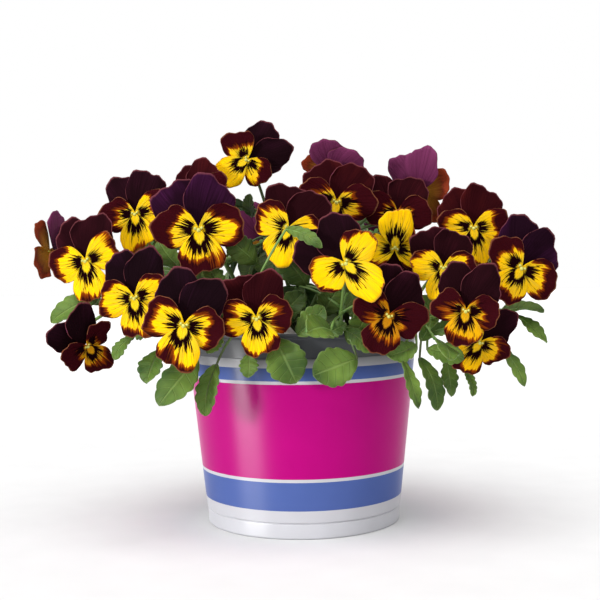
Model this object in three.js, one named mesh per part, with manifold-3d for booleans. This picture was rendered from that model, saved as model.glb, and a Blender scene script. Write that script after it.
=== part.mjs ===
// Potted pansy planter: a printed plastic pot of soil with three pansy plants in full bloom.
// Millimetres, +Z up, the origin on the ground at the pot's axis, the front towards -Y.
import * as THREE from "three";
import Module from "manifold-3d";
import { mergeVertices } from "three/addons/utils/BufferGeometryUtils.js";

// Driving dimensions of the pot
const POT_HEIGHT = 141;
const FOOT_RADIUS = 70.45;
const FOOT_HEIGHT = 10.9;
const BAND_TOP = 123.5; // where the printed wall ends and the collar steps in
const BAND_TOP_RADIUS = 82.5 + 0.107 * (BAND_TOP - 117.7);
const WALL_SLOPE = 0.107; // radius gained for each millimetre of height
const WALL = 1.6;
const COLLAR_STEP = 0.8;
const RIM_BEAD = 1.6;
const BASE_RISE = 2.4; // the drained channel in the base stands this far off the ground
const DRAIN_HOLES = 6;
const DRAIN_HOLE_RADIUS = 4.5;
const DRAIN_CIRCLE = 40;
const POT_SIDES = 28;
const HOLE_SIDES = 8;
const CUT_MARGIN = 1; // how far a cutter stands out of what it cuts

// Driving dimensions of the soil and of the gap between pieces that touch
const SOIL_TOP = 130;
const SOIL_MOUND = 2;
const SOIL_SIDES = 24;
const GAP = 0.3;
const CROWN_RADIUS = 4.2;
const CROWN_DEPTH = 14;
const CROWN_RISE = 7;
const CROWN_SIDES = 8;

// Driving dimensions of a bloom of size 1, in its own plane: x right, y up, z to the viewer
const PETAL_THICKNESS = 0.8;
const LATERAL = { angle: 11, length: 25.5, half: 13, round: 0.45, lift: 1, lean: 0.1, bow: -2, ruffle: 1.3 };
const LOWER = { angle: -90, length: 28.5, half: 12.8, round: 0.46, lift: 1.9, lean: 0.3, bow: -3, ruffle: 1 };
const BACK = { angle: 65, length: 35, half: 15.8, round: 0.5, lift: -2.8, lean: -0.22, bow: 1.5, ruffle: 0.8 };
const BACK_SINK = -4.1; // the left one stands this far behind the right one
const LEAN_SPREAD = 0.1;
const LOWER_NOTCH = 2;
const ROOT_RADIUS = 2.4; // where a petal's narrow foot meets the middle of its bloom
const ROOT_HALF = 1.5;
const THROAT = { front: 1.8, rear: -1.4 };
const BACK_HUB = { front: -1.7, rear: -7.8 };
const CALYX = { front: -8.1, wide: -10.8, rear: -14, radius: 3.4 };

// Driving dimensions of the greenery
const LEAF_THICKNESS = 0.9;
const SMALLEST_EDGE = 0.35; // shorter edges left by joining the stems are closed up
const SHOOT = { radius: 1.7, sides: 4, steps: 4 };
const STALK = { radius: 1.1, sides: 3, steps: 3 };
const ROOM = 5.2; // what every leaf and stem keeps clear round the pieces of other nodes
const TIGHT_ROOM = 0.7; // the share of that room that suffices for the leaves placed one by one
const PETIOLE_ROOM = 0.6; // and the share that suffices for a petiole
const OWN_ROOM = 3.6; // what a leaf keeps clear round its own plant

// The crowns of the three plants, where they stand in the soil
const PLANTS = {
  left: [-34, -14],
  right: [34, -14],
  back: [0, 38],
};

// Main shoots, as plant, point that the shoot bends towards, and tip
const SHOOTS = [
  ["left", [-80, -28, 186], [-128, -44, 160]],
  ["left", [-58, -58, 180], [-84, -88, 142]],
  ["left", [-38, -58, 176], [-42, -92, 142]],
  ["left", [-44, -24, 180], [-62, -34, 200]],
  ["left", [-64, 0, 190], [-120, -2, 186]],
  ["right", [82, -28, 182], [128, -46, 150]],
  ["right", [58, -58, 176], [84, -88, 140]],
  ["right", [30, -58, 178], [24, -92, 142]],
  ["right", [44, -30, 180], [62, -40, 196]],
  ["right", [70, 0, 190], [118, 4, 190]],
  ["back", [-50, 60, 186], [-86, 70, 176]],
  ["back", [0, 74, 190], [0, 96, 178]],
  ["back", [54, 60, 186], [90, 66, 176]],
  ["back", [-14, 30, 190], [-24, 14, 226]],
  ["back", [22, 30, 190], [44, 12, 216]],
  ["back", [-40, 44, 196], [-58, 40, 214]],
  ["back", [40, 52, 196], [56, 56, 212]],
  ["back", [4, 56, 200], [0, 66, 224]],
];

// Blooms: name, centre, turn to the right, tilt upwards, roll counter-clockwise, size
const BLOOMS = [
  ["a", [-147, -54, 191], -14, 4, 18, 1.02],
  ["a2", [-182, -8, 200], -100, -10, 52, 0.9],
  ["b", [-117, -24, 224], -12, 6, 8, 0.97],
  ["c", [-69, -62, 211], 6, 4, 5, 1.18],
  ["c2", [-74, -8, 238], -12, 14, 14, 0.9],
  ["d", [-39, 14, 265], -8, 4, -52, 0.92],
  ["e", [-110, -82, 166], -8, 0, 10, 0.96],
  ["f", [-75, -110, 149], -2, 0, -14, 1.04],
  ["g", [-143, -80, 135], 46, -24, 46, 0.78],
  ["h", [-8, -64, 211], -4, 6, -20, 0.96],
  ["i", [26, -28, 230], 2, 8, -9, 1.04],
  ["p", [26, 18, 257], 172, 40, 20, 0.93],
  ["j", [29, -104, 187], -4, 2, 45, 1.0],
  ["k", [64, -62, 197], 4, 4, 178, 0.92],
  ["q", [70, -18, 222], 4, 14, -4, 0.98],
  ["o", [92, 20, 241], 144, 6, -8, 0.94],
  ["l", [94, -84, 183], 2, 2, -4, 0.86],
  ["m", [121, -40, 210], 4, 8, -2, 0.98],
  ["n", [147, -74, 182], 12, 2, -34, 1.04],
  ["r", [56, -105, 153], 2, -6, -20, 0.92],
  ["s", [104, -116, 156], -12, -6, -10, 0.87],
  ["t", [119, -74, 133], 8, -12, -38, 0.87],
  ["u", [-29, -100, 152], 0, 0, 8, 0.94],
  ["w", [-122, 56, 206], -122, 14, 6, 1.0],
  ["x", [-30, 116, 208], -172, 12, -6, 1.04],
  ["y", [66, 104, 212], 160, 10, 8, 1.0],
  ["z", [138, 36, 186], 108, 8, -6, 0.98],
];

// Leaves that show, as the blade's foot, its tip, and its full width
const LEAVES = [
  [[-17, -92, 138], [-4, -98, 110], 25],
  [[36, -95, 125], [7, -101, 115], 24],
  [[-35, -94, 129], [-35, -98, 114], 12],
  [[-140, -48, 166], [-171, -60, 150], 18],
  [[-112, -78, 141], [-124, -86, 126], 10],
  [[-96, -74, 131], [-103, -86, 110], 17],
  [[-69, -92, 126], [-92, -110, 98], 22],
  [[-56, -90, 122], [-64, -95, 89], 15],
  [[80, -64, 122], [91, -70, 87], 14],
  [[66, -82, 124], [77, -82, 90], 9],
  [[99, -54, 120], [102, -60, 95], 13],
  [[112, -60, 112], [116, -66, 96], 8],
  [[130, -56, 132], [151, -66, 102], 11],
  [[148, -50, 150], [168, -58, 131], 10],
  [[78, -92, 136], [86, -84, 152], 14],
  [[75, -93, 133], [55, -101, 127], 13],
  [[82, -92, 130], [105, -99, 124], 14],
  [[-3, -91, 141], [15, -95, 159], 17],
  [[14, -92, 140], [29, -97, 148], 10],
  [[28, -93, 144], [44, -102, 130], 12],
  [[-35, -8, 222], [-36, -14, 238], 12],
  [[-31, -50, 188], [-50, -56, 206], 18],
  [[-9, -92, 210], [14, -106, 198], 9],
  [[-84, -45, 186], [-98, -48, 205], 17],
  [[-68, -48, 171], [-80, -52, 187], 15],
  [[124, -62, 166], [134, -58, 192], 14],
  [[-62, -92, 130], [-53, -88, 142], 12],
  [[72, -90, 139], [59, -94, 150], 11],
  [[84, -92, 141], [103, -95, 147], 10],
  [[44, -80, 158], [31, -86, 134], 16],
  [[-14, -72, 148], [2, -70, 168], 16],
  [[33, -72, 168], [20, -78, 190], 18],
  [[-44, -78, 150], [-52, -82, 171], 15],
  [[4, -56, 172], [-14, -62, 194], 20],
  [[-54, -58, 170], [-65, -61, 189], 14],
  [[93, -58, 145], [81, -61, 164], 17],
  [[14, -62, 152], [25, -65, 170], 17],
];
const FRONT_FACING = [0, -1, 0.4]; // these leaves turn a little to the front
const FILLER_STEPS = { left: [1], right: [1], back: [0.6, 1] };
const FILLER_TURNS = [0, 28, -28, 56, -56, 84, -84];
const FILLER_RISES = [10, -14, 34, -36, 58];
const FILLER_LENGTH = [27, 36];

// Rings of leaves round the shoots: how many, then how far from the axis and how high they start and end
const RINGS = [
  { count: 7, near: 22, footHeight: 149, far: 58, tipHeight: 142, width: 30 },
  { count: 12, near: 58, footHeight: 172, far: 68, tipHeight: 146, width: 26 },
  { count: 9, near: 42, footHeight: 200, far: 52, tipHeight: 174, width: 27 },
];
const RING_TWIST = 0.16;
const RING_SHIFTS = [
  [0, 0],
  [0.12, 0],
  [-0.12, 0],
  [0, -8],
  [0, 8],
  [0.2, 6],
  [-0.2, 6],
  [0.2, -8],
  [-0.2, -8],
];

const COLOURS = {
  pot: 0xd6008c,
  soil: 0x3a2a1e,
  plant: 0x55803c,
  back: 0x2e0b1a,
  face: 0xf4c20a,
};

const rad = (degrees) => (degrees * Math.PI) / 180;
const add = (a, b) => [a[0] + b[0], a[1] + b[1], a[2] + b[2]];
const sub = (a, b) => [a[0] - b[0], a[1] - b[1], a[2] - b[2]];
const mul = (a, k) => [a[0] * k, a[1] * k, a[2] * k];
const dot = (a, b) => a[0] * b[0] + a[1] * b[1] + a[2] * b[2];
const cross = (a, b) => [
  a[1] * b[2] - a[2] * b[1],
  a[2] * b[0] - a[0] * b[2],
  a[0] * b[1] - a[1] * b[0],
];
const unit = (a) => mul(a, 1 / Math.sqrt(dot(a, a)));
const mix = (a, b, k) => add(mul(a, 1 - k), mul(b, k));
const distance = (a, b) => Math.sqrt(dot(sub(a, b), sub(a, b)));

// Numbers from 0 to 1 that are the same on every run.
function draws(seed) {
  let state = seed;
  return () => {
    state = (state * 16807) % 2147483647;
    return state / 2147483647;
  };
}

const wasm = await Module();
wasm.setup();

function solidOf(geometry) {
  const bare = geometry.clone();
  bare.deleteAttribute("normal");
  bare.deleteAttribute("uv");
  const merged = mergeVertices(bare, 1e-4);
  return new wasm.Manifold(
    new wasm.Mesh({
      numProp: 3,
      vertProperties: merged.attributes.position.array,
      triVerts: new Uint32Array(merged.index.array),
    }),
  );
}

function solidOfLists(points, triangles) {
  return new wasm.Manifold(
    new wasm.Mesh({
      numProp: 3,
      vertProperties: new Float32Array(points.flat()),
      triVerts: new Uint32Array(triangles.flat()),
    }),
  );
}

function nodeOf(name, solid, colour, roughness) {
  const mesh = solid.getMesh();
  const geometry = new THREE.BufferGeometry();
  geometry.setAttribute("position", new THREE.BufferAttribute(mesh.vertProperties, 3));
  geometry.setIndex(new THREE.BufferAttribute(mesh.triVerts, 1));
  geometry.computeVertexNormals();
  const material = new THREE.MeshStandardMaterial({ color: colour, roughness, metalness: 0 });
  const node = new THREE.Mesh(geometry, material);
  node.name = name;
  return node;
}

// Pot
const wallRadius = (z) => BAND_TOP_RADIUS - WALL_SLOPE * (BAND_TOP - z);

function potProfile() {
  const collar = wallRadius(POT_HEIGHT) - COLLAR_STEP;
  const outside = [
    [0, 0],
    [20, 0],
    [22, BASE_RISE],
    [57, BASE_RISE],
    [59, 0],
    [FOOT_RADIUS - 0.9, 0],
    [FOOT_RADIUS, 1],
    [FOOT_RADIUS + 0.1, FOOT_HEIGHT - 0.6],
    [FOOT_RADIUS - 0.7, FOOT_HEIGHT],
    [wallRadius(FOOT_HEIGHT + 1), FOOT_HEIGHT + 0.7],
    [wallRadius(BAND_TOP), BAND_TOP],
    [wallRadius(BAND_TOP) - COLLAR_STEP, BAND_TOP + 0.8],
    [collar, POT_HEIGHT - 4],
    [collar + RIM_BEAD, POT_HEIGHT - 3],
    [collar + RIM_BEAD, POT_HEIGHT - 0.8],
    [collar + RIM_BEAD - 0.8, POT_HEIGHT],
  ];
  const inside = [
    [collar - WALL, POT_HEIGHT],
    [wallRadius(BAND_TOP) - COLLAR_STEP - WALL, BAND_TOP],
    [FOOT_RADIUS - WALL, FOOT_HEIGHT],
    [FOOT_RADIUS - WALL - 3, BASE_RISE + WALL],
    [0, BASE_RISE + WALL],
  ];
  return [...outside, ...inside];
}

function lathe(profile, sides) {
  const points = profile.map(([r, z]) => new THREE.Vector2(r, z));
  return solidOf(new THREE.LatheGeometry(points, sides).rotateX(Math.PI / 2));
}

function cylinder(radius, bottom, top, x, y, sides) {
  const bar = new THREE.CylinderGeometry(radius, radius, top - bottom, sides);
  return solidOf(bar.rotateX(Math.PI / 2).translate(x, y, (top + bottom) / 2));
}

function makePot() {
  let pot = lathe(potProfile(), POT_SIDES);
  for (let i = 0; i < DRAIN_HOLES; i++) {
    const angle = rad((360 / DRAIN_HOLES) * (i + 0.5));
    const hole = cylinder(
      DRAIN_HOLE_RADIUS,
      -CUT_MARGIN,
      BASE_RISE + WALL + CUT_MARGIN,
      DRAIN_CIRCLE * Math.cos(angle),
      DRAIN_CIRCLE * Math.sin(angle),
      HOLE_SIDES,
    );
    pot = pot.subtract(hole);
  }
  return pot;
}

// Soil, mounded a little, with a plain hole for each plant's crown
function makeSoil() {
  const insideAt = (z) => wallRadius(z) - COLLAR_STEP - WALL - GAP;
  const floor = BASE_RISE + WALL + GAP;
  let soil = lathe(
    [
      [0, floor],
      [FOOT_RADIUS - WALL - 3 - 2 * GAP, floor],
      [FOOT_RADIUS - WALL - 2 * GAP, FOOT_HEIGHT],
      [insideAt(BAND_TOP) - GAP, BAND_TOP],
      [insideAt(SOIL_TOP - 3) - GAP, SOIL_TOP - 3],
      [insideAt(SOIL_TOP) - 5, SOIL_TOP - 0.5],
      [insideAt(SOIL_TOP) / 2, SOIL_TOP + SOIL_MOUND / 2],
      [0, SOIL_TOP + SOIL_MOUND],
    ],
    SOIL_SIDES,
  );
  for (const [x, y] of Object.values(PLANTS)) {
    soil = soil.subtract(
      cylinder(
        CROWN_RADIUS + GAP,
        SOIL_TOP - CROWN_DEPTH - GAP,
        SOIL_TOP + SOIL_MOUND + CUT_MARGIN,
        x,
        y,
        CROWN_SIDES,
      ),
    );
  }
  return soil;
}

// A thin blade from a function that gives the point and the way out at s along and t across
function blade(surface, rows, columns, thickness) {
  const points = [];
  const triangles = [];
  const across = columns.length;
  const under = rows.length * across;
  for (const side of [0.5, -0.5]) {
    for (const s of rows) {
      for (const t of columns) {
        const { point, out } = surface(s, t);
        points.push(add(point, mul(out, side * thickness)));
      }
    }
  }
  const quad = (a, b, c, d) => triangles.push([a, b, c], [a, c, d]);
  for (let i = 0; i + 1 < rows.length; i++) {
    for (let j = 0; j + 1 < across; j++) {
      const a = i * across + j;
      const b = a + across;
      quad(a, b, b + 1, a + 1);
      triangles.push([under + a, under + b + 1, under + b], [under + a, under + a + 1, under + b + 1]);
    }
  }
  const rim = [];
  for (let i = 0; i < rows.length; i++) rim.push(i * across);
  for (let j = 1; j < across; j++) rim.push((rows.length - 1) * across + j);
  for (let i = rows.length - 2; i >= 0; i--) rim.push(i * across + across - 1);
  for (let j = across - 2; j > 0; j--) rim.push(j);
  rim.forEach((a, k) => {
    const b = rim[(k + 1) % rim.length];
    quad(a, under + a, under + b, b);
  });
  return solidOfLists(points, triangles);
}

// Blooms
function bloomFrame([, centre, turn, tilt, roll, size]) {
  const [a, e, r] = [rad(turn), rad(tilt), rad(roll)];
  const face = [Math.sin(a) * Math.cos(e), -Math.cos(a) * Math.cos(e), Math.sin(e)];
  const level = [Math.cos(a), Math.sin(a), 0];
  const rise = cross(face, level);
  const right = add(mul(level, Math.cos(r)), mul(rise, Math.sin(r)));
  const up = add(mul(level, -Math.sin(r)), mul(rise, Math.cos(r)));
  const place = ([x, y, z]) =>
    add(centre, mul(add(add(mul(right, x), mul(up, y)), mul(face, z)), size));
  return { centre, face, right, up, size, place };
}

// The five petals of a bloom, each with its own small differences
function petalsOf(seed) {
  const draw = draws(seed);
  const vary = (share) => 1 + share * (2 * draw() - 1);
  const petals = [
    ["lateral", LATERAL, 1, 0],
    ["lateral", LATERAL, -1, 0],
    ["lower", LOWER, 1, 0],
    ["back", BACK, 1, 0],
    ["back", BACK, -1, BACK_SINK],
  ];
  return petals.map(([kind, base, side, sink]) => ({
    kind,
    angle: rad(side > 0 ? base.angle + 6 * (draw() - 0.5) : 180 - base.angle + 6 * (draw() - 0.5)),
    length: base.length * vary(0.06),
    half: base.half * vary(0.06),
    round: base.round,
    lift: base.lift + sink,
    lean: base.lean + (kind === "back" ? 0 : LEAN_SPREAD) * (draw() - 0.5),
    bow: base.bow,
    ruffle: base.ruffle,
    phase: 2 * Math.PI * draw(),
    notch: kind === "lower" ? LOWER_NOTCH : 0,
  }));
}

// A point of a petal in the bloom's own plane: s from the throat to the rim, t from side to side
function petalPoint(petal, s, t) {
  const swing = (Math.PI / 2) * t;
  const spread = 0.08 + 0.92 * (1 - Math.pow(1 - s, 1.8));
  const along =
    petal.length * s * (1 - petal.round + petal.round * Math.cos(swing)) -
    petal.notch * Math.exp(-Math.pow(t / 0.22, 2)) * s * s * s;
  const across = petal.half * spread * Math.sin(swing);
  const wave = petal.ruffle * s * s * Math.sin(3.4 * t + petal.phase);
  const z = petal.lift + petal.lean * along + petal.bow * s * s + wave;
  const [c, n] = [Math.cos(petal.angle), Math.sin(petal.angle)];
  return [along * c - across * n, along * n + across * c, z];
}

// Each row of a petal's points: how far along it lies, and where its points are across
const PETAL_ROWS = [
  [0.5, [-1, 0, 1]],
  [1, [-1, -0.5, 0, 0.5, 1]],
];
const ROOT_ANGLES = { lateral: [12, 168], lower: [-90], back: [45, 135] };

// One closed body: petals that spring from the corners of a small hub
function petalWhorl(petals, hub, extra, { place, face }) {
  const points = [];
  const triangles = [];
  const pair = (local) => {
    const p = place(local);
    points.push(add(p, mul(face, PETAL_THICKNESS / 2)), sub(p, mul(face, PETAL_THICKNESS / 2)));
    return points.length - 2;
  };
  const sheet = (a, b, c) => triangles.push([a, b, c], [a + 1, c + 1, b + 1]);
  const wall = (a, b) => triangles.push([a, a + 1, b + 1], [a, b + 1, b]);
  const ring = [];
  for (const { petal, root } of petals) {
    const [c, n] = [Math.cos(rad(root)), Math.sin(rad(root))];
    const foot = (side) =>
      pair([
        ROOT_RADIUS * c - side * ROOT_HALF * n,
        ROOT_RADIUS * n + side * ROOT_HALF * c,
        petal.lift + petal.lean * ROOT_RADIUS,
      ]);
    let row = [foot(-1), foot(1)];
    ring.push({ at: root - 1, point: row[0] }, { at: root + 1, point: row[1], free: true });
    for (const [s, columns] of PETAL_ROWS) {
      const next = columns.map((t) => pair(petalPoint(petal, s, t)));
      wall(row[0], next[0]);
      wall(next.at(-1), row.at(-1));
      for (let j = 0; j + 1 < row.length; j++) {
        sheet(row[j], next[2 * j], next[2 * j + 1]);
        sheet(row[j], next[2 * j + 1], row[j + 1]);
        sheet(row[j + 1], next[2 * j + 1], next[2 * j + 2]);
      }
      row = next;
    }
    for (let j = 0; j + 1 < row.length; j++) wall(row[j], row[j + 1]);
  }
  for (const { angle, radius, z } of extra) {
    const [c, n] = [Math.cos(rad(angle)), Math.sin(rad(angle))];
    ring.push({ at: angle, point: pair([radius * c, radius * n, z]), free: true });
  }
  ring.sort((a, b) => a.at - b.at);
  const front = points.push(place([0, 0, hub.front])) - 1;
  const rear = points.push(place([0, 0, hub.rear])) - 1;
  ring.forEach(({ point, free }, i) => {
    const next = ring[(i + 1) % ring.length].point;
    triangles.push([point, next, front], [next + 1, point + 1, rear]);
    if (free) wall(point, next);
  });
  return solidOfLists(points, triangles);
}

function makeBloom(bloom, seed) {
  const frame = bloomFrame(bloom);
  const petals = petalsOf(seed);
  const pick = (...kinds) =>
    kinds.flatMap((kind) =>
      petals
        .filter((petal) => petal.kind === kind)
        .map((petal, i) => ({ petal, root: ROOT_ANGLES[kind][i] })),
    );
  const chin = { angle: 270, radius: ROOT_RADIUS, z: BACK.lift + BACK_SINK / 2 };
  return {
    front: petalWhorl(pick("lateral", "lower"), THROAT, [], frame),
    back: petalWhorl(pick("back"), BACK_HUB, [chin], frame),
  };
}

// Points that leaves and stems keep clear of, each with the piece that it belongs to
const taken = [];
const claim = (points, owner) => points.forEach((p) => taken.push({ p, owner }));
const bladesOf = (plant) => plant + " blades";

// Whether points keep clear by room of every piece but the named ones
const isClear = (points, owners, room) =>
  taken.every(
    ({ p, owner }) => owners.includes(owner) || points.every((point) => distance(point, p) > room),
  );

// Whether points keep clear by room of one piece
const isClearOf = (points, name, room) =>
  taken.every(({ p, owner }) => owner !== name || points.every((q) => distance(q, p) > room));

// The pot's wall and the soil, with room round them
function meetsPot([x, y, z]) {
  const r = Math.sqrt(x * x + y * y);
  if (z > POT_HEIGHT + 3) return false;
  if (r < wallRadius(POT_HEIGHT) - 6) return z < SOIL_TOP + 4;
  return r < wallRadius(Math.min(z, POT_HEIGHT)) + 4;
}

const SAMPLE_ROWS = [0.2, 0.4, 0.6, 0.8, 1];
const SAMPLE_COLUMNS = [-1, -0.55, 0, 0.55, 1];

function claimBloom(bloom, seed) {
  const { place } = bloomFrame(bloom);
  for (const petal of petalsOf(seed)) {
    for (const s of SAMPLE_ROWS) {
      claim(
        SAMPLE_COLUMNS.map((t) => place(petalPoint(petal, s, t))),
        bloom[0],
      );
    }
  }
}

// Stems
const curveAt = (ends, k) => {
  let row = ends;
  while (row.length > 1) row = row.slice(1).map((p, i) => mix(row[i], p, k));
  return row[0];
};
const alongCurve = (ends, count) =>
  Array.from({ length: count + 1 }, (_, i) => curveAt(ends, i / count));

class StemCurve extends THREE.Curve {
  constructor(ends) {
    super();
    this.ends = ends;
  }
  getPoint(k, target = new THREE.Vector3()) {
    return target.set(...curveAt(this.ends, k));
  }
}

function stem(ends, { radius, sides, steps }) {
  const outline = Array.from({ length: sides }, (_, i) => {
    const angle = (2 * Math.PI * i) / sides;
    return new THREE.Vector2(radius * Math.cos(angle), radius * Math.sin(angle));
  });
  return solidOf(
    new THREE.ExtrudeGeometry(new THREE.Shape(outline), {
      steps,
      bevelEnabled: false,
      extrudePath: new StemCurve(ends),
    }),
  );
}

const shoots = SHOOTS.map(([plant, bend, tip]) => {
  const [x, y] = PLANTS[plant];
  const ends = [[x, y, SOIL_TOP + 2], bend, tip];
  return { plant, ends };
});
const JOINT_SHARES = [0.3, 0.45, 0.6, 0.75, 0.9];
const joints = shoots.flatMap(({ plant, ends }) =>
  JOINT_SHARES.map((share) => ({ plant, ends, share, point: curveAt(ends, share), used: 0 })),
);

// The shoot joints near a point, nearest first
const jointsNear = (point, plant) =>
  joints
    .filter((joint) => !plant || joint.plant === plant)
    .sort((a, b) => distance(a.point, point) - distance(b.point, point));

// Where the next stem leaves a joint: each in turn a little further from it along the shoot
const JOINT_SPACING = 2.8;
const LAST_SHARE = 0.98;
function nextStart({ ends, share, used }) {
  const step = JOINT_SPACING * Math.ceil(used / 2) * (used % 2 ? 1 : -1);
  return curveAt(ends, Math.min(share + step / distance(ends[0], ends[2]), LAST_SHARE));
}

// A bloom's stalk rises behind it and hooks over into the calyx. These are the ways that it may bend,
// as a shift to the side and one upwards, and the reach of its hook behind the calyx
const STALK_HOOK = 13;
const STALK_TRIES = 8;
const STALK_BENDS = [
  [0, 0],
  [0, -10],
  [10, 0],
  [-10, 0],
  [14, -12],
  [-14, -12],
  [22, 0],
  [-22, 0],
  [0, -24],
  [26, -20],
  [-26, -20],
];

function stalkFor(bloom) {
  const { face, place, size } = bloomFrame(bloom);
  const calyx = place([0, 0, CALYX.rear + 2]);
  const side = unit(cross(face, [0, 0, 1]));
  for (const joint of jointsNear(calyx).slice(0, STALK_TRIES)) {
    const start = nextStart(joint);
    for (const [slide, sink] of STALK_BENDS) {
      const hook = add(
        add(calyx, mul(face, -STALK_HOOK * size)),
        add(mul(side, slide), [0, 0, 1 + sink]),
      );
      const rise = add(mix(start, calyx, 0.35), add(mul(side, slide), [0, 0, 4 + sink / 2]));
      const ends = [start, rise, hook, calyx];
      const path = alongCurve(ends, 14);
      if (path.some(meetsPot)) continue;
      const own = [joint.plant, bladesOf(joint.plant), bloom[0]];
      if (!isClear(path.slice(0, 12), own, ROOM - 1)) continue;
      if (!isClear(path, own, 3)) continue;
      joint.used++;
      return { plant: joint.plant, ends, path };
    }
  }
  return null;
}

function calyxSolid(bloom) {
  const { place } = bloomFrame(bloom);
  const ring = Array.from({ length: 5 }, (_, i) => {
    const angle = rad(72 * i + 90);
    return place([CALYX.radius * Math.cos(angle), CALYX.radius * Math.sin(angle), CALYX.wide]);
  });
  const points = [...ring, place([0, 0, CALYX.front]), place([0, 0, CALYX.rear])];
  const triangles = [];
  for (let i = 0; i < 5; i++) {
    const next = (i + 1) % 5;
    triangles.push([i, next, 5], [next, i, 6]);
  }
  return solidOfLists(points, triangles);
}

// Leaves: blunt blades, widest past the middle, with rounded teeth
// Each row of a blade is how far along it lies and its share of the full width
const LEAF_SHARES = [
  [0, 0.1],
  [0.2, 0.62],
  [0.36, 0.66],
  [0.52, 1],
  [0.66, 0.88],
  [0.82, 0.8],
  [1, 0.16],
];
const LEAF_COLUMNS = [-1, 1];
const FILLER_SHARES = [
  [0, 0.1],
  [0.3, 0.88],
  [0.48, 0.78],
  [0.72, 0.96],
  [1, 0.16],
];
const PETIOLE_HALF = 0.9;

function leafFrame(foot, tip, width, facing = [0, 0, 0.55]) {
  const along = unit(sub(tip, foot));
  const length = distance(foot, tip);
  const look = add(unit([foot[0] + tip[0], foot[1] + tip[1], 0]), facing);
  const out = unit(sub(look, mul(along, dot(look, along))));
  return { foot, along, length, out, side: cross(out, along), half: width / 2 };
}

function leafPoint(leaf, s, t, share) {
  const arch = 0.42 * leaf.length * s * (1 - s);
  return add(
    add(leaf.foot, mul(leaf.along, leaf.length * s)),
    add(mul(leaf.side, t * share * leaf.half), mul(leaf.out, arch)),
  );
}

const leafSamples = (leaf, from = 0) =>
  LEAF_SHARES.flatMap(([s, share]) =>
    s < from ? [] : [-1, 0, 1].map((t) => leafPoint(leaf, s, t, Math.max(share, 0.3))),
  );

// The way across a petiole's strip: the blade's own, turned square to where the petiole heads
const LEAST_ACROSS = 0.2;
function petioleFrame(leaf, start) {
  const heading = unit(sub(leaf.foot, start));
  const across = sub(leaf.side, mul(heading, dot(leaf.side, heading)));
  const side = unit(dot(across, across) > LEAST_ACROSS ? across : cross(leaf.out, heading));
  return { side, out: cross(heading, side), half: PETIOLE_HALF };
}

// One closed body: the petiole as a narrow strip from the shoot, then the blade
function leafSolid(leaf, start, shares) {
  const stalk = { middle: start, ...petioleFrame(leaf, start) };
  const rows = shares.map(([s, share]) => ({
    middle: leafPoint(leaf, s, 0, 0),
    side: leaf.side,
    out: leaf.out,
    half: Math.max(share * leaf.half, PETIOLE_HALF),
  }));
  const strips = [stalk, ...rows];
  const surface = (i, t) => ({
    point: add(strips[i].middle, mul(strips[i].side, t * strips[i].half)),
    out: strips[i].out,
  });
  return blade(surface, [...strips.keys()], LEAF_COLUMNS, LEAF_THICKNESS);
}

// How many joints a leaf tries, and how far its petiole may arch upwards
const PETIOLE_TRIES = 5;
const PETIOLE_LIFTS = [6, 14, -4, 24];

function petioleFor(leaf, plant, room) {
  for (const joint of jointsNear(leaf.foot, plant).slice(0, PETIOLE_TRIES)) {
    const start = nextStart(joint);
    for (const lift of PETIOLE_LIFTS) {
      const bend = add(mix(start, leaf.foot, 0.6), [0, 0, lift]);
      const ends = [start, bend, leaf.foot];
      const path = alongCurve(ends, 8);
      if (path.some(meetsPot)) continue;
      if (!isClear(path, [joint.plant, bladesOf(joint.plant)], room)) continue;
      return { plant: joint.plant, joint, ends, path };
    }
  }
  return null;
}

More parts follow.
